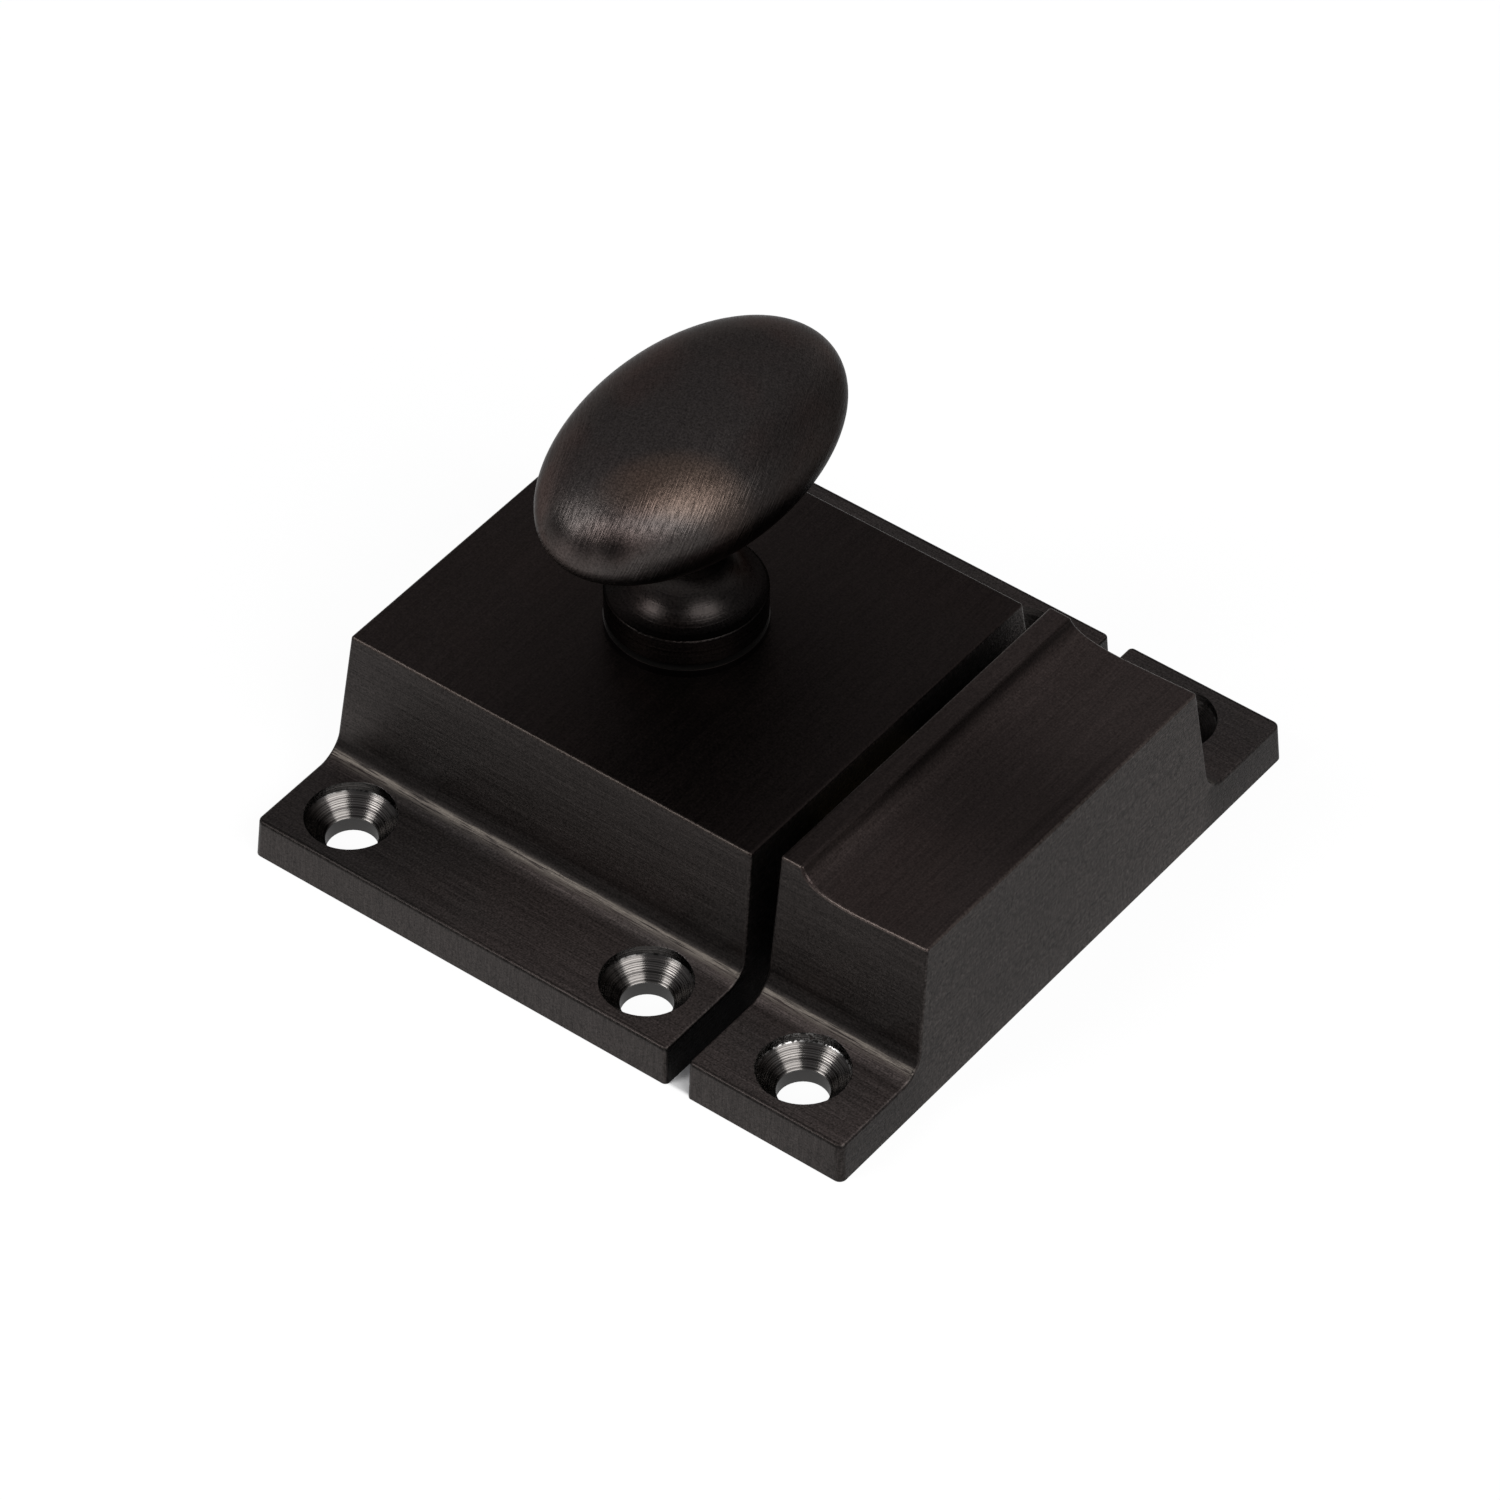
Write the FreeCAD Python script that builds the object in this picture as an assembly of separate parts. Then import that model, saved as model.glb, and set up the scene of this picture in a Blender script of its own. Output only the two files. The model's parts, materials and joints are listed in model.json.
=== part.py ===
import FreeCAD, Part
import math
import os

# Cupboard catch latch: a sprung bolt in a cast brass case, drawn back by an oval
# turn knob, and the cast keeper that the bolt shoots into.
# Millimetres. The origin is where the knob's axis meets the mounting face.
# +X points from the case to the keeper, +Y runs along the gap between them,
# and +Z points away from the door.

# Outline that the case and the keeper share
CROWN_WIDTH = 33.3
FLANK_DRAFT = 8.0
FLANGE_WIDTH = 9.25
FLANGE_THICKNESS = 3.5
FLANGE_EDGE_DRAFT = 3.5
FLANK_FILLET = 2.2
OUTER_CORNER_RADIUS = 0.6
GAP_CORNER_RADIUS = 0.4
WORN_EDGE_RADIUS = 0.25

# Case
CASE_LENGTH = 39.1
CASE_HEIGHT = 14.6
FREE_END_DRAFT = 3.5
GAP_END_DRAFT = 2.8
CASE_ROOF = 2.65
CASE_FREE_WALL = 3.2
CASE_GAP_WALL = 3.1
GUIDE_RIB = 2.0
POCKET_LENGTH = 21.0
POCKET_OUTER_WIDTH = 26.4
POCKET_CORNER_RADIUS = 1.0

# Fixing screw holes, for a 3.5 mm countersunk wood screw
SCREW_HOLE_DIAMETER = 4.0
COUNTERSINK_DIAMETER = 7.1
COUNTERSINK_ANGLE = 90.0
COUNTERSINK_STEP = 0.75
SCREW_TO_FLANGE_EDGE = 4.6
SCREW_TO_CASE_END = 5.55
SCREW_TO_KEEPER_EDGE = 7.0

# Keeper
GAP = 1.85
KEEPER_LENGTH = 14.1
RIDGE_HEIGHT = 15.9
RIDGE_WIDTH = 1.95
TROUGH_HEIGHT = 14.3
TROUGH_START = 7.0
SCOOP_STEEP_SHARE = 0.09
SCOOP_TURN_SHARE = 0.15
SCOOP_FLAT_SHARE = 0.45
OUTER_LIP_HEIGHT = 14.65
KEEPER_END_DRAFT = 3.15
KEEPER_LIP = 2.6
KEEPER_POCKET_DEPTH = 9.2
KEEPER_POCKET_HEIGHT = 11.2
KEEPER_POCKET_WIDTH = 16.0

# Knob, turned and filed from one casting
HEAD_LENGTH = 29.85
HEAD_WIDTH = 17.6
HEAD_CROWN = 6.4
HEAD_UNDERSIDE = 6.1
HEAD_EQUATOR_HEIGHT = 31.1
HEAD_OFFSET = 0.8
HEAD_FILLET = 1.4
NECK_DIAMETER = 6.0
NECK_FLARE_HEIGHT = 3.8
FLARE_REACH_SHARE = 0.6
FLARE_TURN_SHARE = 0.38
COLLAR_DIAMETER = 12.4
COLLAR_THICKNESS = 2.45
COLLAR_RIM_RADIUS = 0.15
FOOT_DIAMETER = 11.0
FOOT_HEIGHT = 0.35
KNOB_BORE_DEPTH = 8.4

# Washer under the knob
WASHER_THICKNESS = 0.75
WASHER_DIAMETER = 12.5

# Spindle
SPINDLE_DIAMETER = 5.0
SPINDLE_THREAD_DIAMETER = 3.6
SPINDLE_SQUARE = 3.8
SQUARE_SHORTFALL = 0.1

# Crank on the spindle's lower end, and its peg
CRANK_THICKNESS = 2.4
CRANK_HUB_RADIUS = 4.2
CRANK_LOBE_RADIUS = 2.6
PEG_DIAMETER = 3.0
PEG_SHORTFALL = 0.6
KNOB_TURN = 70.0

# Screw that holds the crank on the spindle
CRANK_SCREW_DIAMETER = 2.5
CRANK_SCREW_LENGTH = 4.0
CRANK_SCREW_HEAD_DIAMETER = 4.8
CRANK_SCREW_HEAD_HEIGHT = 1.4
SCREW_SLOT_WIDTH = 0.6
SCREW_SLOT_SHARE = 0.5

# Bolt
BOLT_TRAVEL = 5.4
BOLT_ENGAGEMENT = 4.0
BOLT_WIDTH = 13.0
BOLT_THICKNESS = 6.6
BOLT_TAIL_LENGTH = 9.5
NOSE_WIDTH = 11.0
NOSE_BEVEL_ANGLE = 45.0
NOSE_TIP_THICKNESS = 1.5
NOSE_EDGE_RADIUS = 0.4

# Bolt spring and the spigot that centres it
SPRING_DIAMETER = 4.0
SPRING_WIRE = 0.5
SPRING_TURNS = 7
SPRING_BORE_LENGTH = 6.1
SPIGOT_DIAMETER = 2.5
SPIGOT_LENGTH = 3.0

# Back plate and its screws
PLATE_THICKNESS = 1.5
PLATE_WIDTH = 29.0
PLATE_BORDER = 2.5
PLATE_CORNER_RADIUS = 1.5
PLATE_SCREW_DIAMETER = 2.0
PLATE_SCREW_HEAD_DIAMETER = 3.8
PLATE_SCREW_LENGTH = 5.0
PLATE_SCREW_EDGE = 3.3

# Clearances
RUNNING_FIT = 0.05
SEAT_FIT = 0.02
END_PLAY = 0.05
SLIDE_PLAY = 0.1
SLIDE_LIFT = 0.15
PEG_PLAY = 0.12
CRANK_SWEEP_PLAY = 0.4
FACE_PLAY = 0.25
SPRING_PLAY = 0.2

# Working values: how far a cutter runs past a face, how near two places are
# taken as the same, and the least angle at which an edge counts as sharp
OVERCUT = 1.0
NEAR = 0.01
SHARP_ANGLE = 5.0

# Levels above the mounting face, from the back plate up
bolt_bottom = PLATE_THICKNESS + SLIDE_LIFT
bolt_top = bolt_bottom + BOLT_THICKNESS
bolt_middle = (bolt_bottom + bolt_top) / 2
channel_top = bolt_top + SLIDE_LIFT
crank_bottom = bolt_top + FACE_PLAY
crank_top = crank_bottom + CRANK_THICKNESS
boss_bottom = crank_top + END_PLAY
roof_level = CASE_HEIGHT - CASE_ROOF
washer_top = CASE_HEIGHT + WASHER_THICKNESS
knob_bottom = washer_top + END_PLAY
collar_bottom = knob_bottom + FOOT_HEIGHT
collar_top = collar_bottom + COLLAR_THICKNESS

# Places along X
free_end_x = -CASE_LENGTH / 2
gap_end_x = CASE_LENGTH / 2
keeper_start_x = gap_end_x + GAP
keeper_end_x = keeper_start_x + KEEPER_LENGTH
channel_start_x = free_end_x + CASE_FREE_WALL
channel_end_x = gap_end_x - CASE_GAP_WALL
shoulder_x = channel_end_x - END_PLAY
nose_tip_x = keeper_start_x + BOLT_ENGAGEMENT
tail_x = -BOLT_TAIL_LENGTH
spring_seat_x = tail_x + SPRING_BORE_LENGTH

# The peg swings the same angle to either side of the bolt's cross slot
half_turn = math.radians(KNOB_TURN / 2)
crank_throw = BOLT_TRAVEL / 2 / math.sin(half_turn)
peg_x = crank_throw * math.sin(half_turn)
peg_y = crank_throw * math.cos(half_turn)

# Half widths of the shared section, and the screws' places in it
flank_foot = CROWN_WIDTH / 2 + (CASE_HEIGHT - FLANGE_THICKNESS) * math.tan(math.radians(FLANK_DRAFT))
flange_rim = flank_foot + FLANGE_WIDTH
flange_base = flange_rim + FLANGE_THICKNESS * math.tan(math.radians(FLANGE_EDGE_DRAFT))
screw_spacing_y = 2 * (flange_rim - SCREW_TO_FLANGE_EDGE)
screw_spacing_x = CASE_LENGTH - 2 * SCREW_TO_CASE_END
keeper_screw_x = keeper_start_x + SCREW_TO_KEEPER_EDGE


def vector(x, y, z):
    return FreeCAD.Vector(x, y, z)


def block(x_range, y_range, z_range):
    """Box between two values on each axis."""
    size = [high - low for low, high in (x_range, y_range, z_range)]
    return Part.makeBox(*size, vector(x_range[0], y_range[0], z_range[0]))


def across(width):
    """Range of Y for something centred on the bolt's line."""
    return (-width / 2, width / 2)


def rod(diameter, x, y, bottom, top):
    """Upright round bar."""
    return Part.makeCylinder(diameter / 2, top - bottom, vector(x, y, bottom))


def rounded_block(x_range, y_range, z_range, radius):
    """Box with rounded upright edges."""
    shape = block(x_range, y_range, z_range)
    upright = [edge for edge in shape.Edges if edge.BoundBox.ZLength > NEAR]
    return shape.makeFillet(radius, upright)


def prism_along_x(outline, start, end):
    """Straight bar from an outline of (y, z) points."""
    points = [vector(start, y, z) for y, z in outline]
    face = Part.Face(Part.makePolygon(points + points[:1]))
    return face.extrude(vector(end - start, 0, 0))


def prism_along_y(edges, width):
    """Straight bar, centred across Y, from edges drawn in the plane y = 0."""
    face = Part.Face(Part.Wire(edges))
    face.translate(vector(0, -width / 2, 0))
    return face.extrude(vector(0, width, 0))


def polyline_edges(points):
    """Straight edges through (x, z) points."""
    places = [vector(x, 0, z) for x, z in points]
    return [Part.makeLine(a, b) for a, b in zip(places, places[1:])]


def turned(outline, x=0, y=0):
    """Body of revolution about an upright axis from (radius, z) points."""
    points = [vector(r, 0, z) for r, z in outline]
    face = Part.Face(Part.makePolygon(points + points[:1]))
    shape = face.revolve(vector(0, 0, 0), vector(0, 0, 1), 360)
    shape.translate(vector(x, y, 0))
    return shape


def flanged_bar(start, end, height):
    """Bar of the shared section: two flanges and a raised middle with leaning flanks."""
    rise = height - FLANGE_THICKNESS
    crown = flank_foot - rise * math.tan(math.radians(FLANK_DRAFT))
    right_side = [
        (flange_base, 0),
        (flange_rim, FLANGE_THICKNESS),
        (flank_foot, FLANGE_THICKNESS),
        (crown, height),
    ]
    left_side = [(-y, z) for y, z in reversed(right_side)]
    return prism_along_x(right_side + left_side, start, end)


def round_flank_roots(shape):
    """Fillets where the flanks run into the flanges."""
    roots = []
    for edge in shape.Edges:
        box = edge.BoundBox
        along_x = box.YLength < NEAR and box.ZLength < NEAR
        at_foot = abs(abs(box.Center.y) - flank_foot) < NEAR
        if along_x and at_foot and abs(box.Center.z - FLANGE_THICKNESS) < NEAR:
            roots.append(edge)
    return shape.makeFillet(FLANK_FILLET, roots)


def round_flange_corners(shape, near_x, radius):
    """Rounds the two upright flange corners at one end."""
    corners = []
    for edge in shape.Edges:
        box = edge.BoundBox
        rises_from_floor = abs(box.ZMin) < NEAR and box.ZMax > FLANGE_THICKNESS - NEAR
        at_rim = abs(box.Center.y) > (flank_foot + flange_rim) / 2
        if rises_from_floor and at_rim and abs(box.Center.x - near_x) < FLANGE_THICKNESS:
            corners.append(edge)
    return shape.makeFillet(radius, corners)


def wear_edges(shape):
    """Softens every sharp edge that stands above the mounting face."""
    worn = []
    for edge in shape.Edges:
        if edge.BoundBox.ZMax < NEAR:
            continue
        sides = shape.ancestorsOfType(edge, Part.Face)
        if len(sides) == 2 and meet_sharply(edge, sides):
            worn.append(edge)
    return shape.makeFillet(WORN_EDGE_RADIUS, worn)


def meet_sharply(edge, sides):
    """True where two faces meet at an angle, false where one runs on into the other."""
    middle = edge.valueAt((edge.FirstParameter + edge.LastParameter) / 2)
    normals = [side.normalAt(*side.Surface.parameter(middle)) for side in sides]
    return normals[0].getAngle(normals[1]) > math.radians(SHARP_ANGLE)


def screw_hole(x, y):
    """Cutter for one countersunk fixing hole, with a straight step at its rim."""
    bore = SCREW_HOLE_DIAMETER / 2
    head = COUNTERSINK_DIAMETER / 2
    cone_top = FLANGE_THICKNESS - COUNTERSINK_STEP
    cone_bottom = cone_top - (head - bore) / math.tan(math.radians(COUNTERSINK_ANGLE / 2))
    cutter_top = FLANGE_THICKNESS + FLANK_FILLET
    outline = [
        (0, -OVERCUT),
        (bore, -OVERCUT),
        (bore, cone_bottom),
        (head, cone_top),
        (head, cutter_top),
        (0, cutter_top),
    ]
    return turned(outline, x, y)


def fixing_holes(places_x):
    """Cutters for the fixing screw holes on both flanges."""
    return [screw_hole(x, y) for x in places_x for y in across(screw_spacing_y)]


def plate_range_x(clearance):
    """Ends of the back plate, or of its recess with a clearance."""
    return (
        free_end_x + PLATE_BORDER - clearance,
        gap_end_x - PLATE_BORDER + clearance,
    )


def plate_screw_places():
    """Centres of the four back plate screws."""
    ends = plate_range_x(0)
    places = []
    for x in (ends[0] + PLATE_SCREW_EDGE, ends[1] - PLATE_SCREW_EDGE):
        for y in across(PLATE_WIDTH - 2 * PLATE_SCREW_EDGE):
            places.append((x, y))
    return places


def latch_case():
    """Cast case: flanged outside, and inside a bolt channel, a crank well and two side pockets."""
    gap_lean = CASE_HEIGHT * math.tan(math.radians(GAP_END_DRAFT))
    free_lean = CASE_HEIGHT * math.tan(math.radians(FREE_END_DRAFT))
    side_view = [
        (free_end_x, 0),
        (gap_end_x, 0),
        (gap_end_x - gap_lean, CASE_HEIGHT),
        (free_end_x + free_lean, CASE_HEIGHT),
        (free_end_x, 0),
    ]
    shape = flanged_bar(free_end_x, gap_end_x, CASE_HEIGHT)
    shape = shape.common(prism_along_y(polyline_edges(side_view), 2 * flange_base))
    shape = round_flank_roots(shape)
    shape = round_flange_corners(shape, free_end_x, OUTER_CORNER_RADIUS)
    shape = round_flange_corners(shape, gap_end_x, GAP_CORNER_RADIUS)
    shape = wear_edges(shape)
    shape = shape.cut(case_cavities() + fixing_holes(across(screw_spacing_x)))
    return shape.fuse(spring_spigot()).removeSplitter()


def case_cavities():
    """Everything that is cored or cut out of the case."""
    channel_width = BOLT_WIDTH + 2 * SLIDE_PLAY
    window_width = NOSE_WIDTH + 2 * SLIDE_PLAY
    levels = (PLATE_THICKNESS, channel_top)
    sweep = crank_throw + CRANK_LOBE_RADIUS + CRANK_SWEEP_PLAY
    recess_x = plate_range_x(SLIDE_PLAY)
    recess_y = across(PLATE_WIDTH + 2 * SLIDE_PLAY)
    cuts = [
        block((channel_start_x, channel_end_x), across(channel_width), levels),
        block((channel_end_x, gap_end_x), across(window_width), levels),
        rod(2 * sweep, 0, 0, bolt_top, boss_bottom),
        rod(SPINDLE_DIAMETER + 2 * RUNNING_FIT, 0, 0, bolt_top, CASE_HEIGHT),
        rounded_block(recess_x, recess_y, (0, PLATE_THICKNESS), PLATE_CORNER_RADIUS),
    ]
    inner = channel_width / 2 + GUIDE_RIB
    outer = POCKET_OUTER_WIDTH / 2
    for y_range in ((inner, outer), (-outer, -inner)):
        length = (-POCKET_LENGTH / 2, POCKET_LENGTH / 2)
        cuts.append(rounded_block(length, y_range, (PLATE_THICKNESS, roof_level), POCKET_CORNER_RADIUS))
    for x, y in plate_screw_places():
        cuts.append(rod(PLATE_SCREW_DIAMETER + 2 * SEAT_FIT, x, y, 0, PLATE_SCREW_LENGTH + FACE_PLAY))
    return cuts


def spring_spigot():
    """Short peg, cast on the free end wall, that keeps the spring in line."""
    root = vector(channel_start_x - OVERCUT, 0, bolt_middle)
    return Part.makeCylinder(SPIGOT_DIAMETER / 2, SPIGOT_LENGTH + OVERCUT, root, vector(1, 0, 0))


def keeper():
    """Cast keeper: a ridge beside the gap, a scooped top and a pocket for the bolt."""
    ridge_edge_x = keeper_start_x + RIDGE_WIDTH
    trough_x = keeper_start_x + TROUGH_START
    end_lean = math.tan(math.radians(KEEPER_END_DRAFT))
    lip_x = keeper_end_x - OUTER_LIP_HEIGHT * end_lean
    scoop = Part.BezierCurve()
    drop = RIDGE_HEIGHT - TROUGH_HEIGHT
    reach = TROUGH_START - RIDGE_WIDTH
    scoop.setPoles([
        vector(ridge_edge_x, 0, RIDGE_HEIGHT),
        vector(ridge_edge_x + SCOOP_STEEP_SHARE * reach, 0, TROUGH_HEIGHT + SCOOP_TURN_SHARE * drop),
        vector(ridge_edge_x + SCOOP_FLAT_SHARE * reach, 0, TROUGH_HEIGHT),
        vector(trough_x, 0, TROUGH_HEIGHT),
    ])
    edges = polyline_edges([
        (trough_x, TROUGH_HEIGHT),
        (lip_x, OUTER_LIP_HEIGHT),
        (keeper_end_x, 0),
        (keeper_start_x, 0),
        (keeper_start_x, RIDGE_HEIGHT),
        (ridge_edge_x, RIDGE_HEIGHT),
    ])
    side_view = prism_along_y([scoop.toShape()] + edges, 2 * flange_base)
    shape = flanged_bar(keeper_start_x, keeper_end_x, RIDGE_HEIGHT).common(side_view)
    shape = round_flank_roots(shape)
    shape = round_flange_corners(shape, keeper_end_x, OUTER_CORNER_RADIUS)
    shape = round_flange_corners(shape, keeper_start_x, GAP_CORNER_RADIUS)
    shape = wear_edges(shape)
    mouth = block(
        (keeper_start_x - OVERCUT, keeper_start_x + KEEPER_LIP + OVERCUT),
        across(NOSE_WIDTH + 2 * FACE_PLAY),
        (0, bolt_top + FACE_PLAY),
    )
    pocket = rounded_block(
        (keeper_start_x + KEEPER_LIP, keeper_start_x + KEEPER_POCKET_DEPTH),
        across(KEEPER_POCKET_WIDTH),
        (0, KEEPER_POCKET_HEIGHT),
        POCKET_CORNER_RADIUS,
    )
    return shape.cut([mouth, pocket] + fixing_holes([keeper_screw_x])).removeSplitter()


def knob():
    """Oval head on a waisted neck, with a round collar, a foot and a tapped hole."""
    shape = knob_head().fuse(knob_stem())
    shape = shape.makeFillet(HEAD_FILLET, [edge for edge in shape.Edges if enters_head(edge)])
    bore = rod(SPINDLE_THREAD_DIAMETER + 2 * SEAT_FIT, 0, 0, knob_bottom, knob_bottom + KNOB_BORE_DEPTH)
    return shape.cut(bore)


def enters_head(edge):
    """True for the line where the neck meets the underside of the head."""
    box = edge.BoundBox
    above_neck = box.ZMin > HEAD_EQUATOR_HEIGHT - HEAD_UNDERSIDE - NEAR
    return above_neck and box.ZMax < HEAD_EQUATOR_HEIGHT - NEAR and box.ZLength < HEAD_UNDERSIDE / 2


def knob_head():
    """Egg shape, a little off the neck's axis: two half balls, drawn out to its sizes."""
    halves = []
    for low, high, height in ((0, 90, HEAD_CROWN), (-90, 0, HEAD_UNDERSIDE)):
        half_ball = Part.makeSphere(1, vector(0, 0, 0), vector(0, 0, 1), low, high, 360)
        drawn = FreeCAD.Matrix()
        drawn.scale(vector(HEAD_WIDTH / 2, HEAD_LENGTH / 2, height))
        halves.append(half_ball.transformGeometry(drawn))
    head = halves[0].fuse(halves[1])
    head.translate(vector(0, HEAD_OFFSET, HEAD_EQUATOR_HEIGHT))
    return head


def knob_stem():
    """Foot, collar and neck, turned as one, with a flare from the collar to the waist."""
    collar = COLLAR_DIAMETER / 2
    rim = collar - COLLAR_RIM_RADIUS
    neck = NECK_DIAMETER / 2
    waist = collar_top + NECK_FLARE_HEIGHT
    flare = Part.BezierCurve()
    flare.setPoles([
        vector(rim, 0, collar_top),
        vector(neck + FLARE_REACH_SHARE * (rim - neck), 0, collar_top),
        vector(neck, 0, collar_top + FLARE_TURN_SHARE * NECK_FLARE_HEIGHT),
        vector(neck, 0, waist),
    ])
    edges = [flare.toShape()]
    edges += polyline_edges([
        (neck, waist),
        (neck, HEAD_EQUATOR_HEIGHT),
        (0, HEAD_EQUATOR_HEIGHT),
        (0, knob_bottom),
        (FOOT_DIAMETER / 2, knob_bottom),
        (FOOT_DIAMETER / 2, collar_bottom),
        (rim, collar_bottom),
    ])
    edges.append(rim_arc(rim, collar_bottom + COLLAR_RIM_RADIUS, -1))
    edges += polyline_edges([
        (collar, collar_bottom + COLLAR_RIM_RADIUS),
        (collar, collar_top - COLLAR_RIM_RADIUS),
    ])
    edges.append(rim_arc(rim, collar_top - COLLAR_RIM_RADIUS, 1))
    face = Part.Face(Part.Wire(edges))
    return face.revolve(vector(0, 0, 0), vector(0, 0, 1), 360)


def rim_arc(centre_x, centre_z, side):
    """Quarter round of the collar's rim: side is 1 at its top and -1 at its bottom."""
    diagonal = COLLAR_RIM_RADIUS * math.sqrt(0.5)
    start = vector(centre_x + COLLAR_RIM_RADIUS, 0, centre_z)
    middle = vector(centre_x + diagonal, 0, centre_z + side * diagonal)
    end = vector(centre_x, 0, centre_z + side * COLLAR_RIM_RADIUS)
    return Part.Arc(start, middle, end).toShape()


def knob_washer():
    """Thin washer between the knob and the case."""
    ring = rod(WASHER_DIAMETER, 0, 0, CASE_HEIGHT, washer_top)
    return ring.cut(rod(SPINDLE_DIAMETER + 2 * RUNNING_FIT, 0, 0, CASE_HEIGHT, washer_top))


def square_bar(size, diameter, bottom, top):
    """Upright square bar with its corners turned down to a diameter."""
    return block(across(size), across(size), (bottom, top)).common(rod(diameter, 0, 0, bottom, top))


def knob_spindle():
    """Stepped spindle: threaded top, round journal and a square end tapped for the screw."""
    thread_top = knob_bottom + KNOB_BORE_DEPTH - FACE_PLAY
    square_bottom = crank_bottom + SQUARE_SHORTFALL
    shape = rod(SPINDLE_THREAD_DIAMETER, 0, 0, crank_top, thread_top)
    shape = shape.fuse(rod(SPINDLE_DIAMETER, 0, 0, crank_top, knob_bottom))
    shape = shape.fuse(square_bar(SPINDLE_SQUARE, SPINDLE_DIAMETER, square_bottom, crank_top))
    tapping = rod(
        CRANK_SCREW_DIAMETER + 2 * SEAT_FIT, 0, 0, crank_bottom, crank_bottom + CRANK_SCREW_LENGTH + FACE_PLAY
    )
    return shape.removeSplitter().cut(tapping)


def crank():
    """Flat crank: a hub with a square hole, and a lobe that carries the peg."""
    direction = math.atan2(peg_y, peg_x)
    spread = math.acos((CRANK_HUB_RADIUS - CRANK_LOBE_RADIUS) / crank_throw)
    flanks = []
    for centre_x, centre_y, radius, sides in (
        (0, 0, CRANK_HUB_RADIUS, (spread, -spread)),
        (peg_x, peg_y, CRANK_LOBE_RADIUS, (-spread, spread)),
    ):
        for side in sides:
            x = centre_x + radius * math.cos(direction + side)
            y = centre_y + radius * math.sin(direction + side)
            flanks.append(vector(x, y, crank_bottom))
    web = Part.Face(Part.makePolygon(flanks + flanks[:1])).extrude(vector(0, 0, CRANK_THICKNESS))
    hub = rod(2 * CRANK_HUB_RADIUS, 0, 0, crank_bottom, crank_top)
    lobe = rod(2 * CRANK_LOBE_RADIUS, peg_x, peg_y, crank_bottom, crank_top)
    shape = hub.fuse([lobe, web]).removeSplitter()
    play = 2 * SEAT_FIT
    square_hole = square_bar(SPINDLE_SQUARE + play, SPINDLE_DIAMETER + play, crank_bottom, crank_top)
    peg_hole = rod(PEG_DIAMETER + play, peg_x, peg_y, crank_bottom, crank_top)
    return shape.cut([square_hole, peg_hole])


def crank_peg():
    """Peg riveted in the crank's lobe, which works in the bolt's cross slot."""
    return rod(PEG_DIAMETER, peg_x, peg_y, bolt_bottom + PEG_SHORTFALL, crank_top)


def crank_screw():
    """Slotted screw that holds the crank on the spindle."""
    head_bottom = crank_bottom - CRANK_SCREW_HEAD_HEIGHT
    shape = rod(CRANK_SCREW_HEAD_DIAMETER, 0, 0, head_bottom, crank_bottom)
    shape = shape.fuse(rod(CRANK_SCREW_DIAMETER, 0, 0, crank_bottom, crank_bottom + CRANK_SCREW_LENGTH))
    slot_depth = SCREW_SLOT_SHARE * CRANK_SCREW_HEAD_HEIGHT
    length = across(CRANK_SCREW_HEAD_DIAMETER)
    return shape.cut(block(length, across(SCREW_SLOT_WIDTH), (head_bottom, head_bottom + slot_depth)))


def bolt():
    """Bolt: a square body, a narrower nose bevelled behind, and the cuts that its drive needs."""
    levels = (bolt_bottom, bolt_top)
    shape = block((tail_x, shoulder_x), across(BOLT_WIDTH), levels)
    shape = shape.fuse(bolt_nose()).removeSplitter()
    slot_half = PEG_DIAMETER / 2 + PEG_PLAY
    slot_end_y = peg_y - PEG_PLAY
    head_half = CRANK_SCREW_HEAD_DIAMETER / 2 + FACE_PLAY
    groove_bottom = crank_bottom - CRANK_SCREW_HEAD_HEIGHT - FACE_PLAY
    spring_bore = SPRING_DIAMETER / 2 + SPRING_PLAY
    cuts = [
        rod(2 * slot_half, peg_x, slot_end_y, bolt_bottom, bolt_top),
        block((peg_x - slot_half, peg_x + slot_half), (slot_end_y, BOLT_WIDTH), levels),
        rod(2 * head_half, 0, 0, groove_bottom, bolt_top),
        rod(2 * head_half, BOLT_TRAVEL, 0, groove_bottom, bolt_top),
        block((0, BOLT_TRAVEL), across(2 * head_half), (groove_bottom, bolt_top)),
        Part.makeCylinder(spring_bore, SPRING_BORE_LENGTH, vector(tail_x, 0, bolt_middle), vector(1, 0, 0)),
    ]
    return shape.cut(cuts)


def bolt_nose():
    """Nose of the bolt: flat in front, where it holds, and bevelled behind, where it rides in."""
    bevel_depth = BOLT_THICKNESS - NOSE_TIP_THICKNESS
    bevel_length = bevel_depth / math.tan(math.radians(NOSE_BEVEL_ANGLE))
    outline = polyline_edges([
        (shoulder_x - NOSE_EDGE_RADIUS, bolt_bottom),
        (nose_tip_x - bevel_length, bolt_bottom),
        (nose_tip_x, bolt_bottom + bevel_depth),
        (nose_tip_x, bolt_top),
        (shoulder_x - NOSE_EDGE_RADIUS, bolt_top),
        (shoulder_x - NOSE_EDGE_RADIUS, bolt_bottom),
    ])
    shape = prism_along_y(outline, NOSE_WIDTH)
    tip_edges = []
    for edge in shape.Edges:
        box = edge.BoundBox
        if box.XMin > nose_tip_x - bevel_length - NEAR and box.YLength > NEAR:
            tip_edges.append(edge)
    return shape.makeFillet(NOSE_EDGE_RADIUS, tip_edges)


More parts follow.
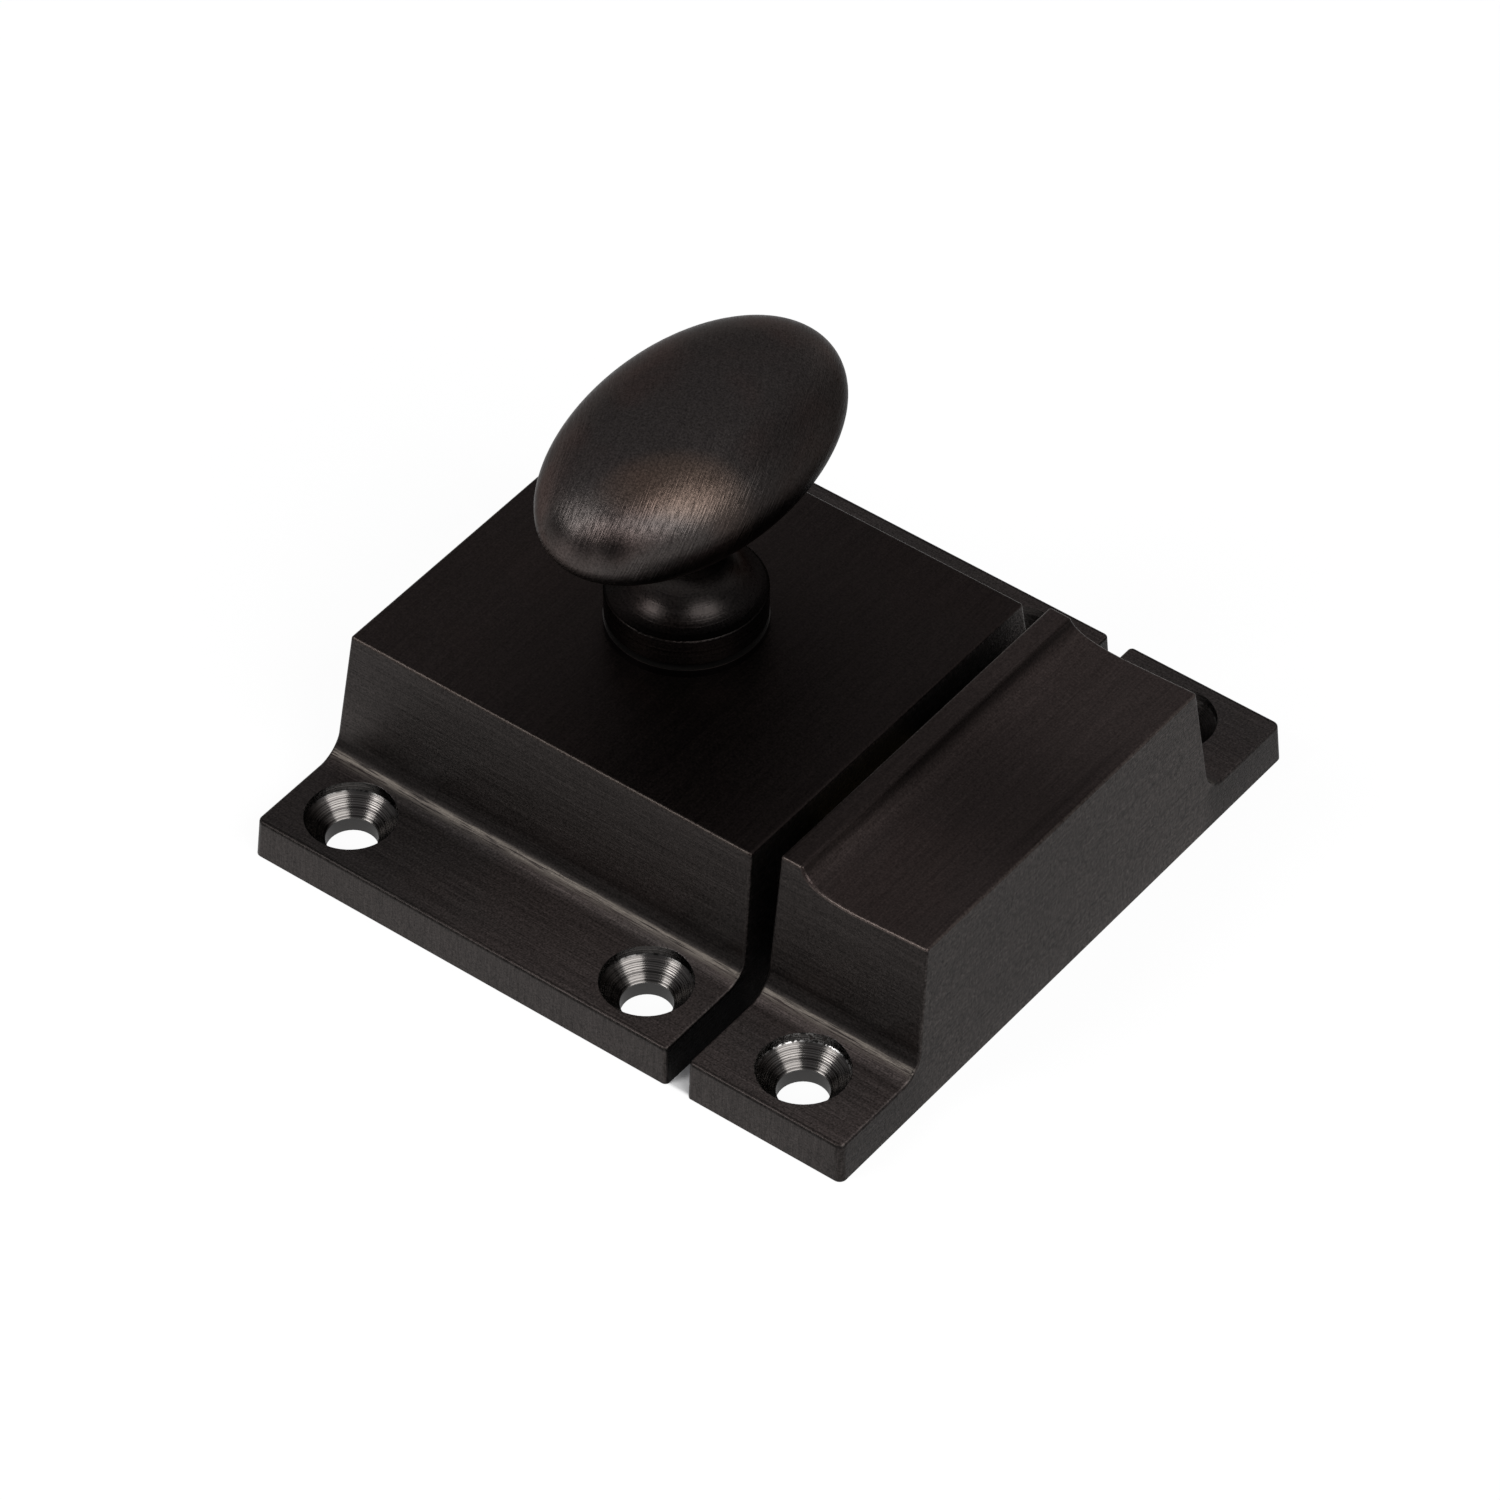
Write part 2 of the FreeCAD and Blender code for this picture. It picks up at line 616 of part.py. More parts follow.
def bolt_spring():
    """Coil spring between the case's free end wall and the bottom of the bolt's bore."""
    first = channel_start_x + SPRING_WIRE / 2 + SEAT_FIT
    last = spring_seat_x - SPRING_WIRE / 2 - SEAT_FIT
    coil_radius = (SPRING_DIAMETER - SPRING_WIRE) / 2
    pitch = (last - first) / SPRING_TURNS
    path = Part.makeHelix(pitch, last - first, coil_radius)
    section = Part.Wire(Part.makeCircle(SPRING_WIRE / 2, vector(coil_radius, 0, 0), vector(0, 1, 0)))
    shape = Part.Wire(path).makePipeShell([section], True, True)
    shape.rotate(vector(0, 0, 0), vector(0, 1, 0), 90)
    shape.translate(vector(first, 0, bolt_middle))
    return shape


def plate_screw_profile(clearance):
    """Half outline of a back plate screw, or of its hole with a clearance."""
    head = PLATE_SCREW_HEAD_DIAMETER / 2 + clearance
    shank = PLATE_SCREW_DIAMETER / 2 + clearance
    return [
        (0, 0),
        (head, 0),
        (shank, head - shank),
        (shank, PLATE_SCREW_LENGTH),
        (0, PLATE_SCREW_LENGTH),
    ]


def back_plate():
    """Plate that closes the back of the case and keeps the bolt in its channel."""
    shape = rounded_block(plate_range_x(0), across(PLATE_WIDTH), (0, PLATE_THICKNESS), PLATE_CORNER_RADIUS)
    return shape.cut([turned(plate_screw_profile(SEAT_FIT), x, y) for x, y in plate_screw_places()])


def back_plate_screw(place):
    """Countersunk slotted screw, head flush with the back."""
    x, y = place
    shape = turned(plate_screw_profile(0), x, y)
    head = PLATE_SCREW_HEAD_DIAMETER / 2
    half_slot = SCREW_SLOT_WIDTH / 2
    depth = SCREW_SLOT_SHARE * (PLATE_SCREW_HEAD_DIAMETER - PLATE_SCREW_DIAMETER) / 2
    return shape.cut(block((x - head, x + head), (y - half_slot, y + half_slot), (0, depth)))


def all_parts():
    """Every piece of the catch, by name."""
    makers = (
        latch_case, keeper, knob, knob_washer, knob_spindle, crank, crank_peg,
        crank_screw, bolt, bolt_spring, back_plate,
    )
    parts = {make.__name__: make() for make in makers}
    for number, place in enumerate(plate_screw_places(), start=1):
        parts["back_plate_screw_%d" % number] = back_plate_screw(place)
    return parts


os.makedirs("parts", exist_ok=True)
for name, shape in all_parts().items():
    shape.exportStep(os.path.join("parts", name + ".step"))
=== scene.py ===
import json
import math

import bpy
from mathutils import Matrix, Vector


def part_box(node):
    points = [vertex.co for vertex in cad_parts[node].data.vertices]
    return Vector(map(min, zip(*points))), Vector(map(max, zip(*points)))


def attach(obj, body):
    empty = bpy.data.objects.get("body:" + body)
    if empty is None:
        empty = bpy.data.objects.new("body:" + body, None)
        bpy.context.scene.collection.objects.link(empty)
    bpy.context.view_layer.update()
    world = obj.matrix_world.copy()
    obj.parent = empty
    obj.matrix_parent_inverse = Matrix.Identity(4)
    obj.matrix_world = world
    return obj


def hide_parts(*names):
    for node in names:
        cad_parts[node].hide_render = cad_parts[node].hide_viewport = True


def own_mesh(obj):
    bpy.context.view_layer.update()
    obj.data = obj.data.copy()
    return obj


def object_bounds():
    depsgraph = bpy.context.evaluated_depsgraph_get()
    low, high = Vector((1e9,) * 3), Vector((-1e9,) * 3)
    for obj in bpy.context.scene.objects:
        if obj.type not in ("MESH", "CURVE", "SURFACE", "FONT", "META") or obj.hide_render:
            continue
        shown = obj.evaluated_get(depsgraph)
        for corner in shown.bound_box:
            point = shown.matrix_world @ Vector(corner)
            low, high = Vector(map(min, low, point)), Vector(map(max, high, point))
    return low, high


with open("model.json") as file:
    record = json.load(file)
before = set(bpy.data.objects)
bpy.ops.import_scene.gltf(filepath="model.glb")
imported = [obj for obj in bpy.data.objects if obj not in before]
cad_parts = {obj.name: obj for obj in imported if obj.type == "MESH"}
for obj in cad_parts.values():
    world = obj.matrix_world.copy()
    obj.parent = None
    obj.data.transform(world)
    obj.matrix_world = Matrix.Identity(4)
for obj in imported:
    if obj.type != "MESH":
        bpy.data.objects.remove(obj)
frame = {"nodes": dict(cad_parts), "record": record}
cad_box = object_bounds()

MM = 0.001

# Camera: above the latch and to the right of it, from far away
CAMERA_AZIMUTH = 37.555
CAMERA_ELEVATION = 44.523
CAMERA_PLACE = Vector((273.15, -347.53, 435.65)) * MM
CAMERA_LENS = 196.85
SENSOR_WIDTH = 36.0

# Room: pale low walls, a dimmer ceiling, and the height in degrees where one turns into the other
WALL_LIGHT = (1.0, 1.0, 1.0, 1.0)
CEILING_LIGHT = (0.30, 0.30, 0.31, 1.0)
WALL_TOP = 3.0
CEILING_START = 7.0

# Soft lamps: azimuth, elevation, width, height, brightness
LAMP_DISTANCE = 1.0
MAIN_LAMP = (75.0, 42.0, 0.72, 0.5, 4.1)
FRONT_LAMP = (-32.0, 41.0, 0.36, 0.40, 6.6)
LAMP_WATTS_PER_BRIGHTNESS = 4.0

# Floor: a sheet of white card under the latch
FLOOR_SIZE = 5.0
FLOOR_DROP = 0.02 * MM
FLOOR_WHITE = (0.9, 0.9, 0.9, 1.0)
FLOOR_GLOW = 1.035
FLOOR_GLOW_SHARE = 0.9

# The card beyond the keeper's outer end, which the metal mirrors dimmer: where it starts along X and Y
BENCH_GLOW = 0.58
BENCH_START_X = (31.0, 38.0)
BENCH_START_Y = (-60.0, -35.0)

# The gap between the castings, where the card stays in the dark, along X and along half of Y
GAP_CARD = (19.45, 19.5, 21.45, 21.5)
GAP_CARD_HALF_LENGTH = (27.6, 27.2)

# Colours of the metals
BRONZE = (0.0445, 0.0388, 0.0368, 1.0)
BRONZE_WARM = (0.0530, 0.0398, 0.0366, 1.0)
# The washer's side, painted dark as shade
WASHER_PAINTED_SHADE = (0.012, 0.0098, 0.0106, 1.0)
# Tone of the worn edges, also used for the painted highlight along the flanks' roots
BRONZE_WORN_AND_HIGHLIGHT = (0.115, 0.101, 0.088, 1.0)
# Finger-rubbed golden tone, which is also a painted golden sheen
BRONZE_HANDLED_SHEEN = (0.105, 0.070, 0.052, 1.0)
CUT_METAL = (0.122, 0.114, 0.108, 1.0)
CUT_METAL_DARK = (0.018, 0.0165, 0.016, 1.0)
FLAKED_METAL = (0.24, 0.235, 0.23, 1.0)
BORE_METAL = (0.062, 0.060, 0.059, 1.0)
# Painted shade in the countersinks' steps
STEP_PAINTED_SHADE = (0.006, 0.006, 0.006, 1.0)
TURNED_STEEL = (0.44, 0.44, 0.45, 1.0)
OILED_STEEL = (0.30, 0.29, 0.28, 1.0)
ZINC_WARM = (0.60, 0.60, 0.57, 1.0)
ZINC_COOL = (0.50, 0.52, 0.55, 1.0)
BRIGHT_BRASS = (0.66, 0.52, 0.28, 1.0)
BROWN_BRASS = (0.40, 0.27, 0.12, 1.0)
WIRE_DARK = (0.46, 0.46, 0.48, 1.0)
WIRE_PALE = (0.56, 0.56, 0.58, 1.0)

# How much a metal gives back at a glancing angle
EDGE_TINT = (0.85, 0.85, 0.85, 1.0)
KNOB_EDGE_TINT = (0.42, 0.42, 0.42, 1.0)

# Screw holes: radii of the countersinks and of the bores, and the height of the middle of the step's painted
# shade
COUNTERSINK_RADIUS = 3.55
BORE_RADIUS = 2.0
STEP_MIDDLE = 3.1

# Places on the castings, in millimetres: the top and the outer edge of the flanges, the line along the
# root of the flanks with its painted highlight and how far out that reaches, the lowest part of the crown,
# the side of the keeper's ridge that falls to the scoop, and where the keeper's ridge and scoop give way to
# its outer edge
FLANGE_TOP = 3.5
FLANGE_EDGE = 27.2
ROOT_LINE = 4.2
ROOT_END = 20.3
CROWN_LEVEL = 13.6
RIDGE_EDGE = 23.1
KEEPER_OUTER_START = 33.0

# Bands on the castings: where each begins, is full, begins to fade and is gone
SCOOP = (RIDGE_EDGE - 0.2, RIDGE_EDGE + 0.1, RIDGE_EDGE + 6.3, RIDGE_EDGE + 7.3)
RIDGE_FOOT = (RIDGE_EDGE, RIDGE_EDGE + 0.28, RIDGE_EDGE + 0.3, RIDGE_EDGE + 0.9)
RIDGE_SLOPE = (RIDGE_EDGE + 0.2, RIDGE_EDGE + 0.5, RIDGE_EDGE + 0.8, RIDGE_EDGE + 1.3)
OUTER_LIP = (KEEPER_OUTER_START, KEEPER_OUTER_START + 0.5, KEEPER_OUTER_START + 0.6, KEEPER_OUTER_START + 1.1)
ABOVE_ROOT = (ROOT_LINE, ROOT_LINE + 0.25, ROOT_LINE + 0.3, ROOT_LINE + 2.4)
AROUND_ROOT = (FLANGE_TOP, FLANGE_TOP + 0.25, ROOT_LINE + 0.2, ROOT_LINE + 0.9)
# Band along the flanks' roots where a highlight is painted
ROOT_PAINTED_HIGHLIGHT = (ROOT_LINE - 0.62, ROOT_LINE - 0.22, ROOT_LINE - 0.14, ROOT_LINE + 0.04)
ENDS_AT_GAP = (18.5, 19.0, 22.0, 23.0)

# Stretches over which a mark comes in, or goes out where the first number is the larger
CROWN_START = (CROWN_LEVEL - 0.1, CROWN_LEVEL + 0.3)
WORN_START = (CROWN_LEVEL, CROWN_LEVEL + 0.3)
FLANGE_TOP_END = (FLANGE_TOP + 0.6, FLANGE_TOP + 0.1)
FLANGE_EDGE_START = (FLANGE_EDGE - 0.2, FLANGE_EDGE)
FLANGE_END_START = (17.0, 19.0)
ROOT_PAINTED_HIGHLIGHT_END = (ROOT_END, ROOT_END - 0.7)
CORNER_SIDE = (FLANGE_EDGE - 0.1, FLANGE_EDGE)
CORNER_HEIGHT = (FLANGE_TOP - 0.35, FLANGE_TOP - 0.2)
KEEPER_OUTER_END = (KEEPER_OUTER_START, KEEPER_OUTER_START - 0.2)
COUNTERSINK_RIM = (COUNTERSINK_RADIUS + 0.03, COUNTERSINK_RADIUS - 0.02)
COUNTERSINK_REACH = (COUNTERSINK_RADIUS + 0.6, COUNTERSINK_RADIUS + 0.5)
STEP_START = (COUNTERSINK_RADIUS - 0.15, COUNTERSINK_RADIUS - 0.05)
STEP_TOP = (FLANGE_TOP + 0.1, FLANGE_TOP - 0.02)
STEP_HALF_HEIGHT = (0.3, 0.12)
BORE_END = (BORE_RADIUS + 0.05, BORE_RADIUS + 0.02)

# How a surface of a casting faces where it counts as an end, as level, as crown, as clear of the flanks,
# as a worn edge, and as the ridge's side
END_FACING = (0.6, 0.85)
LEVEL_FACING = (0.7, 0.93)
CROWN_FACING = (0.18, 0.32)
CLEAR_OF_FLANKS = (0.7, 0.5)
WORN_FACING = (0.2, 0.45, 0.85, 0.97)
RIDGE_SIDE_FACING = (0.1, 0.25)

# Painted light and shade on the bronze, in shares of its colour: where it changes, and from what to what
FLANK_BY_HEIGHT = ((6.0, 12.0), (0.9, 0.72))
NEAR_FLANGE_ALONG = ((-18.0, 14.0), (1.15, 2.75))
FAR_FLANGE_LEVEL = 1.6
FLANGES_PART = (-5.0, 5.0)
FLANGE_END_ACROSS = ((-20.0, 20.0), (0.75, 0.55))
CASE_CROWN_ALONG = ((-16.0, -2.0), (0.66, 0.46))
CASE_CROWN_ACROSS = ((2.0, 12.0), (1.0, 1.2))
OUTER_END_BY_HEIGHT = ((5.0, 13.0), (0.28, 0.58))
OUTER_END_ACROSS = ((-6.0, 18.0), (0.0, 0.25))

# How much painted shade darkens the flanks above the roots, the places round the roots, the flanges' outer
# top corners and the flange ends at the gap
PAINTED_SHADE_ABOVE_ROOT = 0.36
PAINTED_SHADE_AROUND_ROOT = 0.4
PAINTED_SHADE_ON_CORNER = 0.5
PAINTED_SHADE_AT_GAP = 0.75

# Skin of the castings: length and width of the fine and the broad brush lines and the share of the broad
# ones, and the sizes of its specks and its mottle
FINE_LINES = (6.0, 0.1)
BROAD_LINES = (24.0, 0.45)
BROAD_LINE_SHARE = 0.25
SPECK_SIZE = 0.16
MOTTLE_SIZE = 0.3

# Warmer patches of the bronze: their sizes, where they show, how much less the flange tops have of them,
# and how warm the whole crown is
WARM_PATCH_SIZE = (16.0, 12.0, 9.0)
WARM_PATCHES_SHOW = (0.35, 0.62)
COOLER_FLANGE = 0.6
CROWN_WARMTH = 0.8

# Painted highlight along the roots and worn edges: the sizes of the streaks, where streaks and specks show,
# and the wear's share
STREAK_SIZE = (2.4, 0.13, 0.13)
STREAKS_SHOW = (0.36, 0.58)
WORN_SPECKS_SHOW = (0.3, 0.6)
WORN_SHARE = 0.3

# Countersinks: their ragged edge, the tool's rings, the painted shade in the step and its flakes, and the
# duller far holes
RAGGED_SIZE = 0.45
TOOL_RING_WIDTH = 0.11
TOOL_RINGS_SHOW = (0.58, 0.38)
TOOL_RING_SHARE = 0.85
STEP_SHADE_SHARE = (0.9, 0.35)
FLAKES_SHOW = (0.43, 0.52)
FLAKE_GAIN = 3
FAR_HOLES_DULL = ((0.0, 5.0), (1.0, 0.25))

# Roughness of the castings: on flanks and on flange tops, of the cut and of the bored metal, and what
# the places round the roots, brush lines and specks add
SATIN = (0.40, 0.46)
CUT_AND_BORE_ROUGHNESS = (0.18, 0.5)
ROOT_ROUGHNESS = 0.12
BRUSH_ROUGHNESS = 0.16
SPECK_ROUGHNESS = 0.3

# Height of the castings' skin: brush lines off and on the crown, specks off and on the ends, the tool's
# rings, and the whole depth in millimetres
BRUSH_HEIGHT = (1.0, 0.5)
SPECK_HEIGHT = (0.6, 1.6)
TOOL_RING_HEIGHT = 0.8
SKIN_DEPTH = 0.02

# The keeper's crown: where its ends begin, and the painted light and shade of its scoop, its ridge and their
# marks
KEEPER_NEAR_END = (-2.0, -12.0)
KEEPER_FAR_END = (0.0, 11.0)
SCOOP_LEVEL = 0.81
SCOOP_NEAR_GAIN = 0.4
SCOOP_FAR_GAIN = 0.54
RIDGE_LEVEL = 0.78
RIDGE_FAR_GAIN = 0.42
RIDGE_START = (RIDGE_EDGE + 0.2, RIDGE_EDGE - 0.1)
PAINTED_SHADE_ON_SLOPE = 0.42
PAINTED_SHADE_AT_FOOT = 0.7
NEAR_END_RELIEF = 0.2
PAINTED_SHADE_ON_LIP = 0.25
LIP_MIDDLE = 2.0
LIP_HALF_LENGTH = (10.0, 4.0)

# Unevenness of the bronze: on the flanks and flanges, then on the crown or the outer ends
SPECKLE_SWING = (2.3, 1.5)
BRUSH_SWING = (1.7, 1.0)
MOTTLE_SWING = (0.5, 3.0)

# Flaking of the bronze round the screw holes
CASE_FLAKING = 0.05
KEEPER_FLAKING = 0.35

# Knob, in millimetres: the top of its collar and the collar's rim, and where its neck meets the head
COLLAR_TOP = (18.1, 18.0)
COLLAR_RIM_HEIGHT = (17.9, 18.0)
COLLAR_RIM_RADIUS = (5.95, 6.05)
HEAD_START = (24.6, 25.6)

# Brush strokes on the knob's head: across them, along them and into the head, and their sizes
STROKES_ACROSS = (0.825, 0.42, -0.373)
STROKES_ALONG = (0.1, 0.55, 0.83)
STROKES_INTO = (-0.554, 0.722, -0.412)
STROKE_WIDTH = 0.11
STROKE_LENGTH = 2.6

# Where fingers have rubbed the knob, and where a golden sheen is painted at the top of the lamp's reflection:
# the middle of the place, its direction and its half sizes
HANDLED_SHEEN_MIDDLE = (4.2, -6.6)
HANDLED_SHEEN_ALONG = (0.7, 0.71)
HANDLED_SHEEN_OVER = (0.71, -0.7)
HANDLED_SHEEN_HALF_LENGTH = 6.4
HANDLED_SHEEN_HALF_WIDTH = 2.7
HANDLED_SHEEN_SHARE = 0.52

# Painted dark reflections on the knob's near end: centre, reach and strength
PAINTED_DARK_REFLECTIONS = (
    ((3.1, -12.5, 32.7), 2.3, 1.0),
    ((1.3, -13.4, 32.5), 2.1, 0.7),
    ((-1.5, -13.3, 33.0), 2.2, 0.7),
)

# Brightness of the knob: its neck, darker as painted shade under the head, its collar's side and its head,
# and how much painted shade and painted dark reflections darken some places
NECK_LEVEL = 0.39
COLLAR_SIDE_LEVEL = 0.8
HEAD_LEVEL = 1.5
PAINTED_SHADE_ON_RIM = 0.5
PAINTED_SHADE_TURNED_AWAY = 0.5
DARK_REFLECTION_SHARE = 0.72
PAINTED_SHADE_UNDER = 0.35

# The side of the head that turns away from the lamps, and its underside at the near end, which get painted
# shade: how they face, and where they are along Y. Its top: how it faces
TURNED_AWAY_FACING = (0.35, 0.75)
TURNED_AWAY_START = (-8.0, -1.0)
UNDER_FACING = (0.25, 0.0)
UNDER_END = (-12.0, -10.5)
TOP_FACING = (0.75, 0.95)

# Grain of the knob: its warm patches, its turning lines, and how its brightness swings with specks and
# with lines, off and on the top
KNOB_PATCH_SIZE = (7.0, 9.0, 5.0)
KNOB_PATCHES_SHOW = (0.42, 0.68)
TURNING_WIDTH = 0.16
KNOB_SPECK_SWING = 2.0
KNOB_LINE_SWING = (0.5, 0.25)

# Roughness of the knob, below and on its head, and its heights: turning lines, strokes off and on the
# top, specks, and the whole depth in millimetres
KNOB_ROUGHNESS = (0.31, 0.34)
KNOB_GRAIN_ROUGHNESS = 0.2
TURNING_HEIGHT = 0.12
STROKE_HEIGHT = (0.48, 0.16)
KNOB_SPECK_HEIGHT = 0.07
KNOB_DEPTH = 0.12

# Washer: its upper edge, which carries a painted highlight, its rings, its roughness and its depth in
# millimetres
WASHER_GLINT_EDGE = (15.26, 15.3)
WASHER_RING_WIDTH = 0.1
WASHER_ROUGHNESS = 0.35
WASHER_RING_ROUGHNESS = 0.1
WASHER_DEPTH = 0.01

# Turned steel: its rings, its oily patches, its roughness and its depth in millimetres
STEEL_RING_WIDTH = 0.12
OIL_SIZE = 2.5
OIL_SHOWS = (0.4, 0.7)
STEEL_ROUGHNESS = 0.28
STEEL_RING_ROUGHNESS = 0.16
STEEL_DEPTH = 0.012

# Zinc plate: its rolling lines, its bloom, its roughness, its heights and its depth in millimetres
ROLLING_SIZE = (14.0, 0.2, 0.2)
BLOOM_SIZE = 3.5
BLOOM_SHOWS = (0.42, 0.62)
ZINC_ROUGHNESS = 0.32
BLOOM_ROUGHNESS = 0.3
ROLLING_HEIGHT = 0.7
BLOOM_HEIGHT = 0.3
ZINC_DEPTH = 0.012

# Drawn brass: its drawing lines, its tarnish, its roughness and its depth in millimetres
DRAWN_SIZE = (18.0, 0.14, 0.14)
TARNISH_SIZE = 4.0
TARNISH_SHOWS = (0.45, 0.75)
TARNISH_SHARE = 0.6
BRASS_ROUGHNESS = 0.27
DRAWN_ROUGHNESS = 0.14
TARNISH_ROUGHNESS = 0.12
BRASS_DEPTH = 0.014

# Spring wire: its drawing lines, its roughness and its depth in millimetres
WIRE_LINE_SIZE = (0.5, 0.12, 0.12)
WIRE_ROUGHNESS = 0.25
WIRE_LINE_ROUGHNESS = 0.1
WIRE_DEPTH = 0.006

# Spring: seven turns of wire between the channel's end and the bolt
SPRING_RADIUS = 1.75
SPRING_WIRE_RADIUS = 0.25
SPRING_TURNS = 7
SPRING_STEPS_PER_TURN = 28
SPRING_WIRE_SIDES = 12


class Value:
    """An output of a node, which can be added to, multiplied and so on like a number."""

    def __init__(self, nodes, socket):
        self.nodes = nodes
        self.socket = socket

    def maths(self, operation, *terms):
        return self.nodes.node("ShaderNodeMath", {"operation": operation}, dict(enumerate(terms)))

    def __add__(self, other):
        return self.maths("ADD", self, other)

    __radd__ = __add__

    def __sub__(self, other):
        return self.maths("SUBTRACT", self, other)

    def __rsub__(self, other):
        return self.maths("SUBTRACT", other, self)

    def __mul__(self, other):
        return self.maths("MULTIPLY", self, other)

    __rmul__ = __mul__

    def __truediv__(self, other):
        return self.maths("DIVIDE", self, other)

    def __pow__(self, other):
        return self.maths("POWER", self, other)

    def __abs__(self):
        return self.maths("ABSOLUTE", self)

    def most(self, other):
        return self.maths("MAXIMUM", self, other)

    def output(self, name):
        """Another output of the same node."""
        return Value(self.nodes, self.socket.node.outputs[name])


class Nodes:
    """The nodes of one material or of the world."""

    def __init__(self, tree):
        self.tree = tree
        tree.nodes.clear()

    def node(self, kind, settings=None, values=None, output=0):
        made = self.tree.nodes.new(kind)
        for name, setting in (settings or {}).items():
            setattr(made, name, setting)
        for place, value in (values or {}).items():
            if isinstance(value, Value):
                self.tree.links.new(value.socket, made.inputs[place])
            else:
                made.inputs[place].default_value = value
        return Value(self, made.outputs[output]) if len(made.outputs) else None

    def place(self):
        """Where a point of the piece is, in millimetres."""
        metres = self.node("ShaderNodeTexCoord", output="Object")
        return self.shade(metres, 1 / MM)

    def facing(self):
        """The way that the surface faces, in the piece's own directions."""
        return self.node("ShaderNodeTexCoord", output="Normal")

    def split(self, vector):
        x = self.node("ShaderNodeSeparateXYZ", values={0: vector})
        return x, x.output("Y"), x.output("Z")

    def join(self, x, y, z):
        return self.node("ShaderNodeCombineXYZ", values={0: x, 1: y, 2: z})

    def between(self, value, low, high):
        """Nothing below low, all above high, and a smooth change between them; low may be the larger."""
        if low > high:
            return 1 - self.between(value, high, low)
        settings = {"interpolation_type": "SMOOTHSTEP"}
        return self.node("ShaderNodeMapRange", settings, {"Value": value, "From Min": low, "From Max": high})

    def band(self, value, start, full, fading, gone):
        """Nothing before start and after gone, and all from full to fading."""
        return self.between(value, start, full) * self.between(value, gone, fading)

    def blend(self, share, first, second):
        """From the first number to the second."""
        return first + (second - first) * share

    def grade(self, value, stretch, levels):
        """From the first level to the second over that stretch of the value."""
        return self.blend(self.between(value, *stretch), *levels)

    def swing(self, grain, amount):
        """The grain as a number that is as often below nothing as above it."""
        return (grain - 0.5) * amount

    def tint(self, share, first, second):
        """From the first colour to the second."""
        values = {0: share, 6: first, 7: second}
        return self.node("ShaderNodeMix", {"data_type": "RGBA"}, values, output=2)

    def shade(self, vector, level):
        """A colour or a place times a number."""
        return self.node("ShaderNodeVectorMath", {"operation": "SCALE"}, {0: vector, "Scale": level})

    def along(self, vector, direction):
        """How far a place is along a direction."""
        values = {0: vector, 1: direction}
        return self.node("ShaderNodeVectorMath", {"operation": "DOT_PRODUCT"}, values, output="Value")

    def away(self, vector, centre):
        """How far a place is from a centre."""
        values = {0: vector, 1: centre}
        return self.node("ShaderNodeVectorMath", {"operation": "DISTANCE"}, values, output="Value")

    def stretched(self, vector, x, y, z):
        """The place, with each direction measured in steps of so many millimetres."""
        steps = (1 / x, 1 / y, 1 / z)
        return self.node("ShaderNodeVectorMath", {"operation": "MULTIPLY"}, {0: vector, 1: steps})

    def grain(self, vector, detail=2.0, roughness=0.5):
        values = {"Vector": vector, "Scale": 1.0, "Detail": detail, "Roughness": roughness}
        return self.node("ShaderNodeTexNoise", values=values)

    def even_grain(self, vector, size, detail, roughness=0.5):
        """Grain that is the same size in every direction."""
        return self.grain(self.stretched(vector, size, size, size), detail, roughness)


def new_finish(name):
    material = bpy.data.materials.new(name)
    material.use_nodes = True
    return material, Nodes(material.node_tree)


def finish_metal(nodes, colour, roughness, height, depth, edge_tint=EDGE_TINT):
    """Metal of that colour and roughness, with its height in depths of so many millimetres."""
    bump = nodes.node("ShaderNodeBump", values={"Height": height, "Distance": depth * MM})
    values = {"Base Color": colour, "Roughness": roughness, "Metallic": 1.0, "Normal": bump}
    values["Specular Tint"] = edge_tint
    metal = nodes.node("ShaderNodeBsdfPrincipled", values=values)
    nodes.node("ShaderNodeOutputMaterial", values={"Surface": metal})


def mount(name):
    return next(m for m in frame["record"]["mounts"] if m["name"] == name)


def screw_hole_distance(nodes, place, mount_name):
    """How far a point is from the axis of the nearest screw hole."""
    holes = mount(mount_name)
    centre_x = holes["pos_m"][0] / MM
    half_x = holes["dims"].get("spacing_x_mm", 0.0) / 2
    half_y = holes["dims"]["spacing_y_mm"] / 2
    x, y, _ = nodes.split(place)
    from_x = abs(abs(x - centre_x) - half_x)
    from_y = abs(abs(y) - half_y)
    return (from_x ** 2 + from_y ** 2) ** 0.5


def turned(nodes, radius, z, step):
    """Fine rings round an upright axis."""
    return nodes.grain(nodes.join(radius / step, z / step, 0.0))


def line_sizes(along, length, width):
    """The sizes of brush lines in X, Y and Z, where they run along one of them."""
    return [length if axis == along else width for axis in "XYZ"]


def brushed(nodes, place, along):
    """Fine lines that run along X, Y or Z, over fainter broad ones."""
    fine = nodes.grain(nodes.stretched(place, *line_sizes(along, *FINE_LINES)), roughness=0.6)
    broad = nodes.grain(nodes.stretched(place, *line_sizes(along, *BROAD_LINES)), detail=1.0)
    return fine * (1 - BROAD_LINE_SHARE) + broad * BROAD_LINE_SHARE


def speckled(nodes, place):
    """The grain of the casting's skin."""
    return nodes.even_grain(place, SPECK_SIZE, detail=2.0, roughness=0.7)


